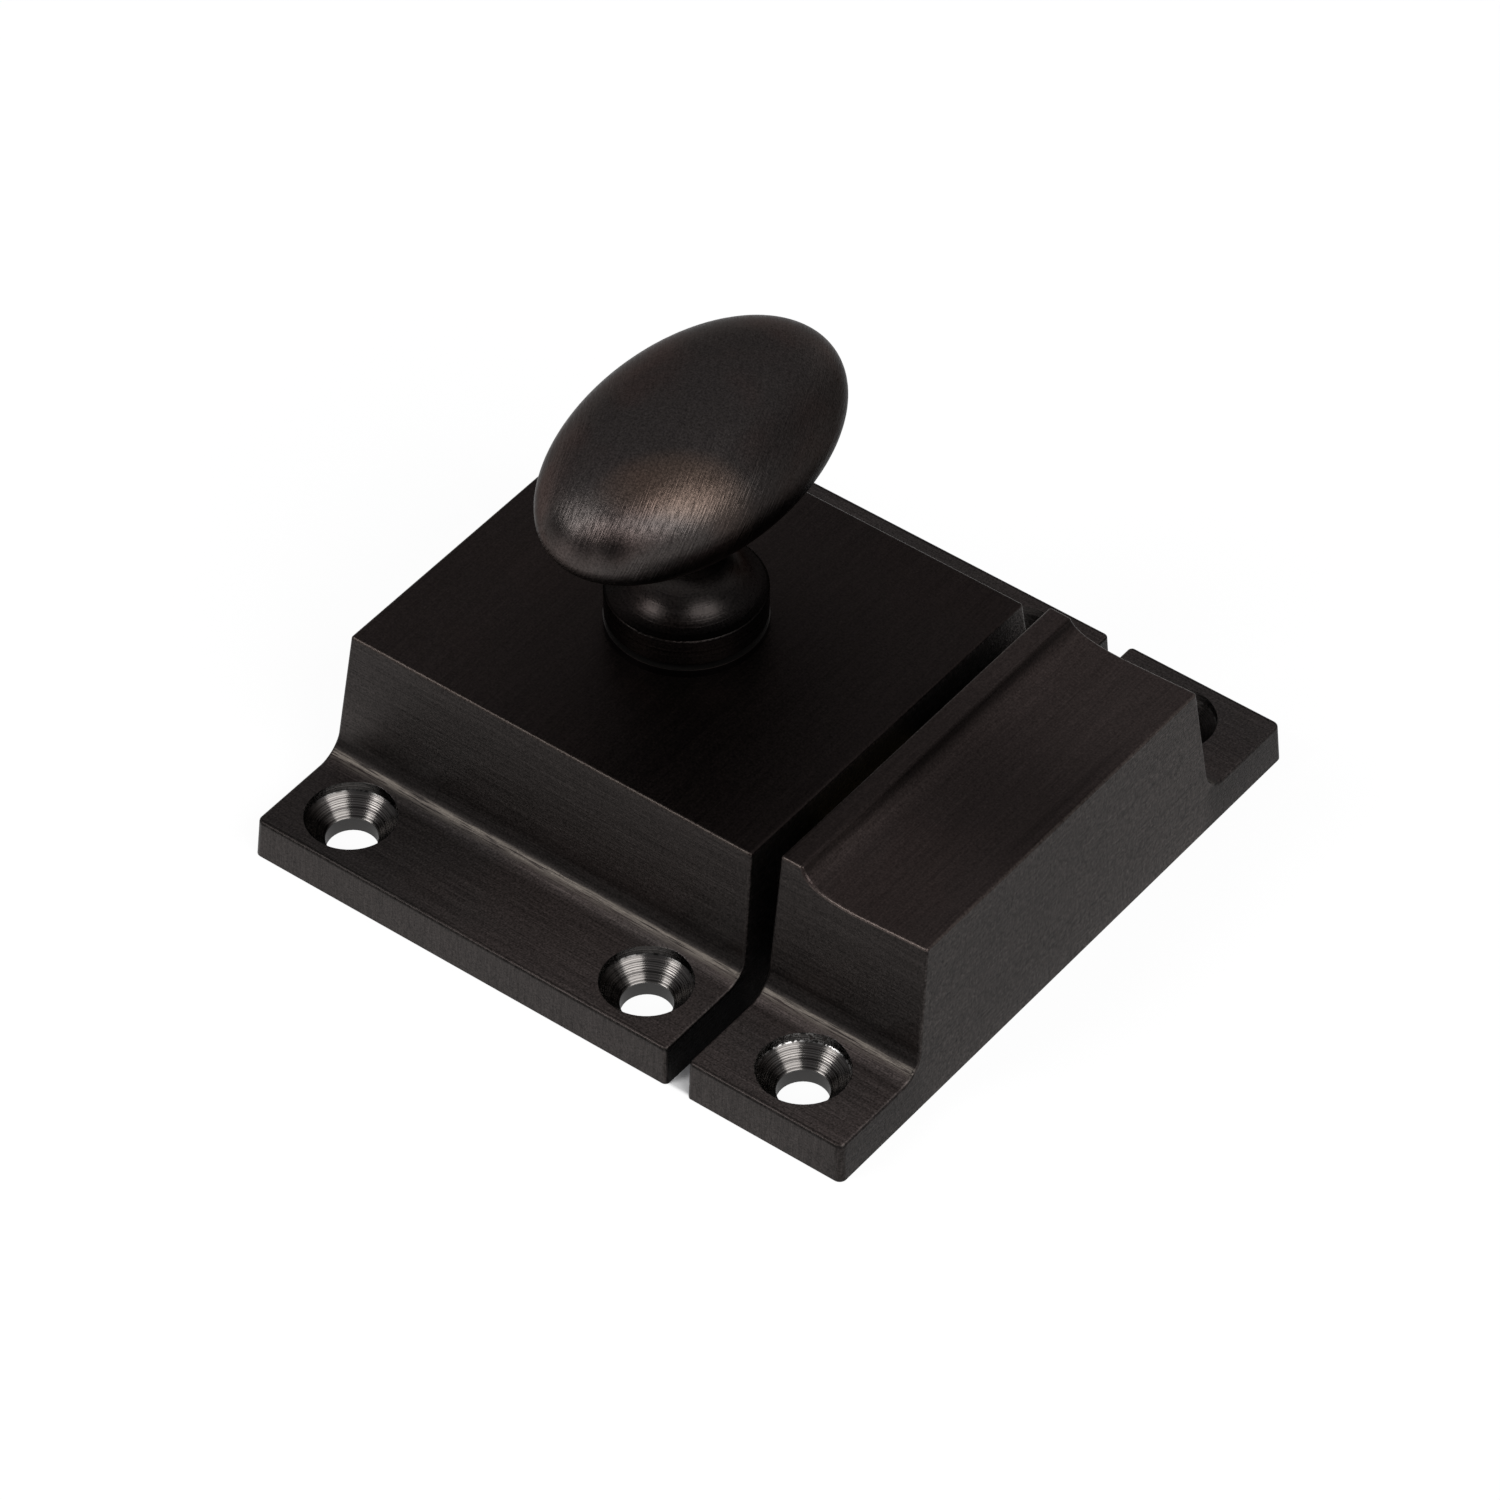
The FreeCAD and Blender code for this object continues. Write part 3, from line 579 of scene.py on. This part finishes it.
class Casting:
    """Where a point of a casting is, as shares from 0 to 1, and the grain of its skin."""

    def __init__(self, nodes):
        self.nodes = nodes
        self.place = nodes.place()
        self.x, self.y, self.z = nodes.split(self.place)
        self.facing_x, facing_y, self.facing_z = nodes.split(nodes.facing())
        self.side = abs(self.y)
        self.on_end = nodes.between(abs(self.facing_x), *END_FACING)
        self.upward = nodes.between(self.facing_z, *LEVEL_FACING)
        in_scoop = nodes.band(self.x, *SCOOP) * nodes.between(abs(facing_y), *CLEAR_OF_FLANKS)
        faces_as_crown = nodes.between(self.facing_z, *CROWN_FACING).most(in_scoop)
        self.crown = nodes.between(self.z, *CROWN_START) * faces_as_crown
        self.flange_top = nodes.between(self.z, *FLANGE_TOP_END) * self.upward
        self.around_root = nodes.band(self.z, *AROUND_ROOT) * (1 - self.on_end)
        self.lines = self.brush_lines()
        self.speckle = speckled(nodes, self.place)

    def brush_lines(self):
        """The brush went along the flanks and flanges, across the crown and ends, and up the edges."""
        nodes = self.nodes
        flange_edge = nodes.between(self.side, *FLANGE_EDGE_START) * (1 - self.upward)
        along, across, up = (brushed(nodes, self.place, axis) for axis in "XYZ")
        return nodes.blend(flange_edge, nodes.blend(self.crown.most(self.on_end), along, across), up)


def bronze_tone(casting):
    """Bronze, warmer in broad patches on what faces up."""
    nodes = casting.nodes
    patches = nodes.grain(nodes.stretched(casting.place, *WARM_PATCH_SIZE))
    warm = nodes.between(patches, *WARM_PATCHES_SHOW) * casting.upward
    warm = warm * (1 - casting.flange_top * COOLER_FLANGE)
    return nodes.tint(warm.most(casting.crown * CROWN_WARMTH), BRONZE, BRONZE_WARM)


def bronze_level(casting, crown_level):
    """How bright the bronze is: painted light and shade by place, and uneven like its skin."""
    nodes, x, y, z = casting.nodes, casting.x, casting.y, casting.z
    crown, on_end = casting.crown, casting.on_end
    # Painted light and shade: flanks darker towards the top, flange tops paler along X and on the far side
    level = nodes.blend(crown, nodes.grade(z, *FLANK_BY_HEIGHT), crown_level(nodes, x, y))
    near_flange = nodes.grade(x, *NEAR_FLANGE_ALONG)
    flange = nodes.blend(nodes.between(y, *FLANGES_PART), near_flange, FAR_FLANGE_LEVEL)
    level = level * nodes.blend(casting.flange_top, 1.0, flange)
    # Painted light on the outer ends, paler towards the top and across
    on_outer = on_end * (1 - crown)
    paler = nodes.grade(z, *OUTER_END_BY_HEIGHT) + nodes.grade(y, *OUTER_END_ACROSS)
    # Painted shade on the flanks just above the roots
    above_root = nodes.band(z, *ABOVE_ROOT) * (1 - on_end)
    level = level * (1 + on_outer * paler) * (1 - above_root * PAINTED_SHADE_ABOVE_ROOT)
    # Painted shade on the flange ends, darker towards the far side
    flange_end = on_end * nodes.between(z, *FLANGE_TOP_END) * nodes.between(casting.side, *FLANGE_END_START)
    level = level * nodes.blend(flange_end, 1.0, nodes.grade(y, *FLANGE_END_ACROSS))
    # Painted shade on the flange ends inside the gap
    level = level * (1 - flange_end * nodes.band(x, *ENDS_AT_GAP) * PAINTED_SHADE_AT_GAP)
    level = level * (1 + nodes.swing(casting.speckle, nodes.blend(crown, *SPECKLE_SWING)))
    level = level * (1 + nodes.swing(casting.lines, nodes.blend(crown, *BRUSH_SWING)))
    mottle = nodes.even_grain(casting.place, MOTTLE_SIZE, detail=3.0, roughness=0.7)
    level = level * (1 + nodes.swing(mottle, nodes.blend(on_outer, *MOTTLE_SWING)))
    # Painted shade on the flanges' outer top corners and round the roots of the flanks
    corner = nodes.between(casting.side, *CORNER_SIDE) * nodes.between(z, *CORNER_HEIGHT)
    return level * (1 - corner * PAINTED_SHADE_ON_CORNER) * (1 - casting.around_root * PAINTED_SHADE_AROUND_ROOT)


def paint_root_highlight_and_wear(casting, bronze):
    """A painted highlight in streaks along the roots of the flanks, and wear to a brighter tone on the edges
    of the crown.
    """
    nodes, z = casting.nodes, casting.z
    streaks = nodes.grain(nodes.stretched(casting.place, *STREAK_SIZE), detail=3.0, roughness=0.6)
    # Painted highlight along the roots of the flanks, broken into streaks
    root = nodes.band(z, *ROOT_PAINTED_HIGHLIGHT) * nodes.between(casting.side, *ROOT_PAINTED_HIGHLIGHT_END)
    root = root * (1 - casting.on_end) * nodes.between(streaks, *STREAKS_SHOW)
    worn = nodes.between(z, *WORN_START) * nodes.band(casting.facing_z, *WORN_FACING)
    worn = worn * nodes.between(casting.speckle, *WORN_SPECKS_SHOW)
    ridge_side = nodes.between(casting.facing_x, *RIDGE_SIDE_FACING)
    ridge_side = ridge_side * nodes.between(casting.x, *KEEPER_OUTER_END)
    return nodes.tint(root.most(worn * (1 - ridge_side) * WORN_SHARE), bronze, BRONZE_WORN_AND_HIGHLIGHT)


def bronze_casting(name, mount_name, crown_level, flaking):
    """Dark bronze over a brushed casting, with bare countersinks."""
    material, nodes = new_finish(name)
    casting = Casting(nodes)
    place, z, crown = casting.place, casting.z, casting.crown
    bronze = nodes.shade(bronze_tone(casting), bronze_level(casting, crown_level))
    bronze = paint_root_highlight_and_wear(casting, bronze)

    # Bare metal in the countersinks, ringed by the tool, with painted shade in the step round it
    distance = screw_hole_distance(nodes, place, mount_name)
    ragged = nodes.even_grain(place, RAGGED_SIZE, detail=3.0, roughness=0.65)
    bare = nodes.between(distance + nodes.swing(ragged, flaking), *COUNTERSINK_RIM)
    bare = bare * nodes.between(distance, *COUNTERSINK_REACH) * nodes.grade(casting.y, *FAR_HOLES_DULL)
    rings = turned(nodes, distance, z, TOOL_RING_WIDTH)
    in_ring = nodes.between(rings, *TOOL_RINGS_SHOW) * TOOL_RING_SHARE
    metal = nodes.tint(in_ring, CUT_METAL, CUT_METAL_DARK)
    step = nodes.between(distance, *STEP_START) * nodes.between(z, *STEP_TOP)
    step = step * nodes.grade(abs(z - STEP_MIDDLE), STEP_HALF_HEIGHT, STEP_SHADE_SHARE)
    flaked = nodes.between(ragged, *FLAKES_SHOW) * min(flaking * FLAKE_GAIN, 1.0)
    # Painted shade in the step, except where the bronze has flaked
    metal = nodes.tint(step * (1 - flaked), metal, STEP_PAINTED_SHADE)
    metal = nodes.tint(step * flaked, metal, FLAKED_METAL)
    bore = nodes.between(distance, *BORE_END)
    metal = nodes.tint(bore, metal, BORE_METAL)

    satin = nodes.blend(casting.flange_top, *SATIN) + casting.around_root * ROOT_ROUGHNESS
    satin = satin + nodes.swing(casting.lines, BRUSH_ROUGHNESS)
    satin = satin + nodes.swing(casting.speckle, SPECK_ROUGHNESS)
    roughness = nodes.blend(bare, satin, nodes.blend(bore, *CUT_AND_BORE_ROUGHNESS))
    skin = casting.lines * nodes.blend(crown, *BRUSH_HEIGHT)
    skin = skin + casting.speckle * nodes.blend(casting.on_end, *SPECK_HEIGHT)
    height = nodes.blend(bare, skin, rings * TOOL_RING_HEIGHT + ragged * flaking)
    finish_metal(nodes, nodes.tint(bare, bronze, metal), roughness, height, SKIN_DEPTH)
    return material


def case_crown_level(nodes, x, y):
    """Painted shade and light: the case's crown is darkest in the middle and towards the keeper, and paler at
    its free end.
    """
    return nodes.grade(x, *CASE_CROWN_ALONG) * nodes.grade(y, *CASE_CROWN_ACROSS)


def keeper_crown_level(nodes, x, y):
    """Painted light and shade: the keeper's ridge darker than its scoop, shade at its foot, on its slope and
    along the lip, and both paler at the ends.
    """
    near_end = nodes.between(y, *KEEPER_NEAR_END)
    far_end = nodes.between(y, *KEEPER_FAR_END)
    scoop = SCOOP_LEVEL + near_end * SCOOP_NEAR_GAIN + far_end * SCOOP_FAR_GAIN
    # Painted shade on the slope below the ridge
    scoop = scoop * (1 - nodes.band(x, *RIDGE_SLOPE) * (PAINTED_SHADE_ON_SLOPE - near_end * NEAR_END_RELIEF))
    ridge = RIDGE_LEVEL + far_end * RIDGE_FAR_GAIN
    level = nodes.blend(nodes.between(x, *RIDGE_START), scoop, ridge)
    lip = nodes.band(x, *OUTER_LIP) * nodes.between(abs(y - LIP_MIDDLE), *LIP_HALF_LENGTH)
    # Painted shade along the foot of the ridge and on the lip
    level = level * (1 - nodes.band(x, *RIDGE_FOOT) * (PAINTED_SHADE_AT_FOOT - near_end * NEAR_END_RELIEF))
    return level * (1 - lip * PAINTED_SHADE_ON_LIP)


def handled_sheen_place(nodes, x, y):
    """The shoulder of the knob's head that the hand meets first, which also carries a painted golden sheen.
    """
    from_x, from_y = x - HANDLED_SHEEN_MIDDLE[0], y - HANDLED_SHEEN_MIDDLE[1]
    along = from_x * HANDLED_SHEEN_ALONG[0] + from_y * HANDLED_SHEEN_ALONG[1]
    over = from_x * HANDLED_SHEEN_OVER[0] + from_y * HANDLED_SHEEN_OVER[1]
    return nodes.between((along / HANDLED_SHEEN_HALF_LENGTH) ** 2 + (over / HANDLED_SHEEN_HALF_WIDTH) ** 2, 1.0, 0.0)


def painted_reflection_spots(nodes, place):
    """Painted dark reflections that are strongest at their centres and gone at their reach."""
    spots = [nodes.between(nodes.away(place, centre), reach, 0.0) * strength
             for centre, reach, strength in PAINTED_DARK_REFLECTIONS]
    dull = spots[0]
    for spot in spots[1:]:
        dull = dull.most(spot)
    return dull


def bronze_knob(name):
    """Dark bronze over a knob that was brushed over its crown and turned at its neck."""
    material, nodes = new_finish(name)
    place = nodes.place()
    x, y, z = nodes.split(place)
    facing_x, _, facing_z = nodes.split(nodes.facing())
    radius = (x ** 2 + y ** 2) ** 0.5
    on_head = nodes.between(z, *HEAD_START)
    across = nodes.along(place, STROKES_ACROSS) / STROKE_WIDTH
    along = nodes.along(place, STROKES_ALONG) / STROKE_LENGTH
    into = nodes.along(place, STROKES_INTO) / STROKE_LENGTH
    strokes = nodes.grain(nodes.join(across, along, into), roughness=0.6)
    turning = turned(nodes, radius, z, TURNING_WIDTH)
    lines = nodes.blend(on_head, turning, strokes)
    speckle = speckled(nodes, place)

    # Bronze with warmer patches, rubbed to a golden tone by fingers and with a painted golden sheen there
    patches = nodes.grain(nodes.stretched(place, *KNOB_PATCH_SIZE))
    bronze = nodes.tint(nodes.between(patches, *KNOB_PATCHES_SHOW), BRONZE, BRONZE_WARM)
    handled_and_sheen = handled_sheen_place(nodes, x, y) * on_head
    bronze = nodes.tint(handled_and_sheen * HANDLED_SHEEN_SHARE, bronze, BRONZE_HANDLED_SHEEN)

    # Painted shade on the neck and the collar's rim, on the side that is turned away, and under the near end
    rim = nodes.between(radius, *COLLAR_RIM_RADIUS) * nodes.between(z, *COLLAR_RIM_HEIGHT)
    below_head = nodes.grade(z, COLLAR_TOP, (NECK_LEVEL, COLLAR_SIDE_LEVEL)) * (1 - rim * PAINTED_SHADE_ON_RIM)
    turned_away = nodes.between(facing_x, *TURNED_AWAY_FACING) * nodes.between(y, *TURNED_AWAY_START)
    under = nodes.between(facing_z, *UNDER_FACING) * nodes.between(y, *UNDER_END)
    level = nodes.blend(on_head, below_head, HEAD_LEVEL) * (1 - turned_away * on_head * PAINTED_SHADE_TURNED_AWAY)
    # Painted dark reflections on the near end, and painted shade under it
    level = level * (1 - painted_reflection_spots(nodes, place) * DARK_REFLECTION_SHARE) * (1 - under * on_head * PAINTED_SHADE_UNDER)
    top = nodes.between(facing_z, *TOP_FACING)
    level = level * (1 + nodes.swing(speckle, KNOB_SPECK_SWING))
    level = level * (1 + nodes.swing(lines, nodes.blend(top, *KNOB_LINE_SWING)))

    roughness = nodes.blend(on_head, *KNOB_ROUGHNESS) + nodes.swing(lines, KNOB_GRAIN_ROUGHNESS)
    roughness = roughness + nodes.swing(speckle, KNOB_GRAIN_ROUGHNESS)
    stroked = lines * nodes.blend(top, *STROKE_HEIGHT)
    height = nodes.blend(on_head, turning * TURNING_HEIGHT, stroked) + speckle * KNOB_SPECK_HEIGHT
    finish_metal(nodes, nodes.shade(bronze, level), roughness, height, KNOB_DEPTH, KNOB_EDGE_TINT)
    return material


def bronze_washer(name):
    """Thin washer, its side painted dark as shade, with a painted highlight on its upper edge."""
    material, nodes = new_finish(name)
    x, y, z = nodes.split(nodes.place())
    rings = turned(nodes, (x ** 2 + y ** 2) ** 0.5, z, WASHER_RING_WIDTH)
    # Painted shade on the side, painted highlight on the upper edge
    colour = nodes.tint(nodes.between(z, *WASHER_GLINT_EDGE), WASHER_PAINTED_SHADE, CUT_METAL)
    roughness = WASHER_ROUGHNESS + nodes.swing(rings, WASHER_RING_ROUGHNESS)
    finish_metal(nodes, colour, roughness, rings, WASHER_DEPTH)
    return material


def turned_steel(name):
    """Plain steel, turned round the knob's axis and oily in places."""
    material, nodes = new_finish(name)
    place = nodes.place()
    x, y, z = nodes.split(place)
    rings = turned(nodes, (x ** 2 + y ** 2) ** 0.5, z, STEEL_RING_WIDTH)
    oil = nodes.even_grain(place, OIL_SIZE, detail=3.0)
    colour = nodes.tint(nodes.between(oil, *OIL_SHOWS), TURNED_STEEL, OILED_STEEL)
    roughness = STEEL_ROUGHNESS + nodes.swing(rings, STEEL_RING_ROUGHNESS)
    finish_metal(nodes, colour, roughness, rings, STEEL_DEPTH)
    return material


def plated_steel(name):
    """Zinc-plated steel: pale, with a faint bloom and rolling lines."""
    material, nodes = new_finish(name)
    place = nodes.place()
    rolled = nodes.grain(nodes.stretched(place, *ROLLING_SIZE), detail=3.0)
    bloom = nodes.even_grain(place, BLOOM_SIZE, detail=4.0, roughness=0.6)
    colour = nodes.tint(nodes.between(bloom, *BLOOM_SHOWS), ZINC_WARM, ZINC_COOL)
    roughness = ZINC_ROUGHNESS + nodes.swing(bloom, BLOOM_ROUGHNESS)
    height = rolled * ROLLING_HEIGHT + bloom * BLOOM_HEIGHT
    finish_metal(nodes, colour, roughness, height, ZINC_DEPTH)
    return material


def drawn_brass(name):
    """Brass bar, drawn along the bolt's travel and handled."""
    material, nodes = new_finish(name)
    place = nodes.place()
    drawn = nodes.grain(nodes.stretched(place, *DRAWN_SIZE), detail=3.0, roughness=0.6)
    tarnish = nodes.even_grain(place, TARNISH_SIZE, detail=3.0)
    brown = nodes.between(tarnish, *TARNISH_SHOWS) * TARNISH_SHARE
    colour = nodes.tint(brown, BRIGHT_BRASS, BROWN_BRASS)
    roughness = BRASS_ROUGHNESS + nodes.swing(drawn, DRAWN_ROUGHNESS) + brown * TARNISH_ROUGHNESS
    finish_metal(nodes, colour, roughness, drawn, BRASS_DEPTH)
    return material


def spring_wire(name):
    """Drawn spring wire."""
    material, nodes = new_finish(name)
    drawn = nodes.grain(nodes.stretched(nodes.place(), *WIRE_LINE_SIZE))
    colour = nodes.tint(drawn, WIRE_DARK, WIRE_PALE)
    roughness = WIRE_ROUGHNESS + nodes.swing(drawn, WIRE_LINE_ROUGHNESS)
    finish_metal(nodes, colour, roughness, drawn, WIRE_DEPTH)
    return material


def dress(node, material):
    """Gives a node of the frame its finish."""
    piece = frame["nodes"][node]
    if not piece.material_slots:
        piece.data.materials.append(material)
    for slot in piece.material_slots:
        slot.material = material


def dress_nodes():
    dress("latch_case", bronze_casting("case_bronze", "case_screws", case_crown_level, CASE_FLAKING))
    dress("keeper", bronze_casting("keeper_bronze", "keeper_screws", keeper_crown_level, KEEPER_FLAKING))
    dress("knob", bronze_knob("knob_bronze"))
    dress("knob_washer", bronze_washer("washer_bronze"))
    steel = turned_steel("turned_steel")
    for node in ("knob_spindle", "crank", "crank_peg"):
        dress(node, steel)
    plated = plated_steel("zinc_plate")
    for node in frame["nodes"]:
        if node.startswith("back_plate") or node == "crank_screw":
            dress(node, plated)
    dress("bolt", drawn_brass("drawn_brass"))


def coil_tree(material):
    """Nodes that wind a spring along X from its anchored end."""
    tree = bpy.data.node_groups.new("coil", "GeometryNodeTree")
    sizes = {"Radius": SPRING_RADIUS, "Wire": SPRING_WIRE_RADIUS, "Turns": SPRING_TURNS, "Length": 1.0}
    for name, value in sizes.items():
        tree.interface.new_socket(name, in_out="INPUT", socket_type="NodeSocketFloat").default_value = value
    tree.interface.new_socket("Geometry", in_out="OUTPUT", socket_type="NodeSocketGeometry")

    def add(kind, values=None):
        made = tree.nodes.new(kind)
        for place, value in (values or {}).items():
            if isinstance(value, bpy.types.NodeSocket):
                tree.links.new(value, made.inputs[place])
            else:
                made.inputs[place].default_value = value
        return made.outputs

    size = add("NodeGroupInput")
    values = {"Resolution": SPRING_STEPS_PER_TURN, "Rotations": size["Turns"], "Start Radius": size["Radius"]}
    values.update({"End Radius": size["Radius"], "Height": size["Length"]})
    helix = add("GeometryNodeCurveSpiral", values)
    values = {"Resolution": SPRING_WIRE_SIDES, "Radius": size["Wire"]}
    section = add("GeometryNodeCurvePrimitiveCircle", values)
    wire = add("GeometryNodeCurveToMesh", {"Curve": helix[0], "Profile Curve": section[0], "Fill Caps": True})
    laid = add("GeometryNodeTransform", {"Geometry": wire[0], "Rotation": (0.0, math.pi / 2, 0.0)})
    smooth = add("GeometryNodeSetShadeSmooth", {"Geometry": laid[0]})
    real = add("GeometryNodeRealizeInstances", {"Geometry": smooth[0]})
    dressed = add("GeometryNodeSetMaterial", {"Geometry": real[0], "Material": material})
    add("NodeGroupOutput", {"Geometry": dressed[0]})
    return tree


def wind_spring():
    """The bolt's spring, in the place of its plain node."""
    low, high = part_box("bolt_spring")
    free_length = high[0] - low[0]
    wire_radius = SPRING_WIRE_RADIUS * MM
    seed = bpy.data.objects.new("spring_seed", bpy.data.meshes.new("spring_seed"))
    bpy.context.collection.objects.link(seed)
    modifier = seed.modifiers.new("coil", "NODES")
    modifier.node_group = coil_tree(spring_wire("spring_steel_wire"))
    given = {"Radius": SPRING_RADIUS * MM, "Wire": wire_radius, "Length": free_length - 2 * wire_radius}
    for item in modifier.node_group.interface.items_tree:
        if item.in_out == "INPUT" and item.name in given:
            modifier[item.identifier] = given[item.name]
    evaluated = seed.evaluated_get(bpy.context.evaluated_depsgraph_get())
    mesh = bpy.data.meshes.new_from_object(evaluated)
    bpy.data.objects.remove(seed)
    start = Vector((low[0] + wire_radius, (low[1] + high[1]) / 2, (low[2] + high[2]) / 2))
    for vertex in mesh.vertices:
        vertex.co += start
    spring = bpy.data.objects.new("bolt_spring_wire", mesh)
    bpy.context.collection.objects.link(spring)
    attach(spring, "case")
    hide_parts("bolt_spring")
    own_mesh(spring)


def white_card():
    """Card that keeps the latch's shadow, and looks white to the eye and in the metal."""
    material, nodes = new_finish("white_card")
    ray = nodes.node("ShaderNodeLightPath", output="Is Camera Ray")
    seen = ray.most(ray.output("Is Glossy Ray")).most(ray.output("Is Transmission Ray"))
    card = nodes.node("ShaderNodeBsdfDiffuse", values={"Color": FLOOR_WHITE})
    glow = nodes.node("ShaderNodeEmission", values={"Strength": FLOOR_GLOW})
    bench_glow = nodes.node("ShaderNodeEmission", values={"Strength": BENCH_GLOW})
    x, y, _ = nodes.split(nodes.place())
    gap = nodes.band(x, *GAP_CARD) * nodes.between(abs(y), *GAP_CARD_HALF_LENGTH)
    bench = nodes.between(x, *BENCH_START_X) * nodes.between(y, *BENCH_START_Y)
    shine = nodes.node("ShaderNodeMixShader", values={0: bench * (1 - ray), 1: glow, 2: bench_glow})
    values = {0: seen * FLOOR_GLOW_SHARE * (1 - gap), 1: card, 2: shine}
    surface = nodes.node("ShaderNodeMixShader", values=values)
    nodes.node("ShaderNodeOutputMaterial", values={"Surface": surface})
    return material


def lay_floor():
    """A square of white card, just under the mounting faces."""
    half = FLOOR_SIZE / 2
    level = cad_box[0].z - FLOOR_DROP
    corners = [(-half, -half, level), (half, -half, level), (half, half, level), (-half, half, level)]
    mesh = bpy.data.meshes.new("floor")
    mesh.from_pydata(corners, [], [(0, 1, 2, 3)])
    mesh.materials.append(white_card())
    floor = bpy.data.objects.new("floor", mesh)
    bpy.context.collection.objects.link(floor)


def light_room():
    world = bpy.data.worlds.new("room")
    bpy.context.scene.world = world
    world.use_nodes = True
    nodes = Nodes(world.node_tree)
    height = nodes.split(nodes.node("ShaderNodeTexCoord", output="Generated"))[2]
    low, high = (math.sin(math.radians(angle)) for angle in (WALL_TOP, CEILING_START))
    light = nodes.tint(nodes.between(height, low, high), WALL_LIGHT, CEILING_LIGHT)
    room = nodes.node("ShaderNodeBackground", values={"Color": light})
    nodes.node("ShaderNodeOutputWorld", values={"Surface": room})


def outward(azimuth, elevation):
    """The direction from the latch to that azimuth and elevation."""
    turn, rise = math.radians(azimuth), math.radians(elevation)
    return Vector((math.sin(turn) * math.cos(rise), -math.cos(turn) * math.cos(rise), math.sin(rise)))


def hang_lamp(name, azimuth, elevation, width, height, brightness):
    """A soft lamp that looks at the middle of the latch."""
    lamp = bpy.data.lights.new(name, "AREA")
    lamp.shape = "RECTANGLE"
    lamp.size = width
    lamp.size_y = height
    lamp.energy = brightness * LAMP_WATTS_PER_BRIGHTNESS * width * height
    light = bpy.data.objects.new(name, lamp)
    direction = outward(azimuth, elevation)
    light.location = (cad_box[0] + cad_box[1]) / 2 + direction * LAMP_DISTANCE
    light.rotation_euler = direction.to_track_quat("Z", "Y").to_euler()
    light.visible_camera = False
    bpy.context.collection.objects.link(light)


def set_camera():
    camera = bpy.data.cameras.new("camera")
    camera.lens = CAMERA_LENS
    camera.sensor_width = SENSOR_WIDTH
    eye = bpy.data.objects.new("camera", camera)
    eye.location = CAMERA_PLACE
    eye.rotation_euler = (math.radians(90 - CAMERA_ELEVATION), 0, math.radians(CAMERA_AZIMUTH))
    bpy.context.collection.objects.link(eye)
    bpy.context.scene.camera = eye


dress_nodes()
wind_spring()
lay_floor()
light_room()
hang_lamp("main_lamp", *MAIN_LAMP)
hang_lamp("front_lamp", *FRONT_LAMP)
set_camera()
bpy.context.scene.view_settings.view_transform = "Standard"
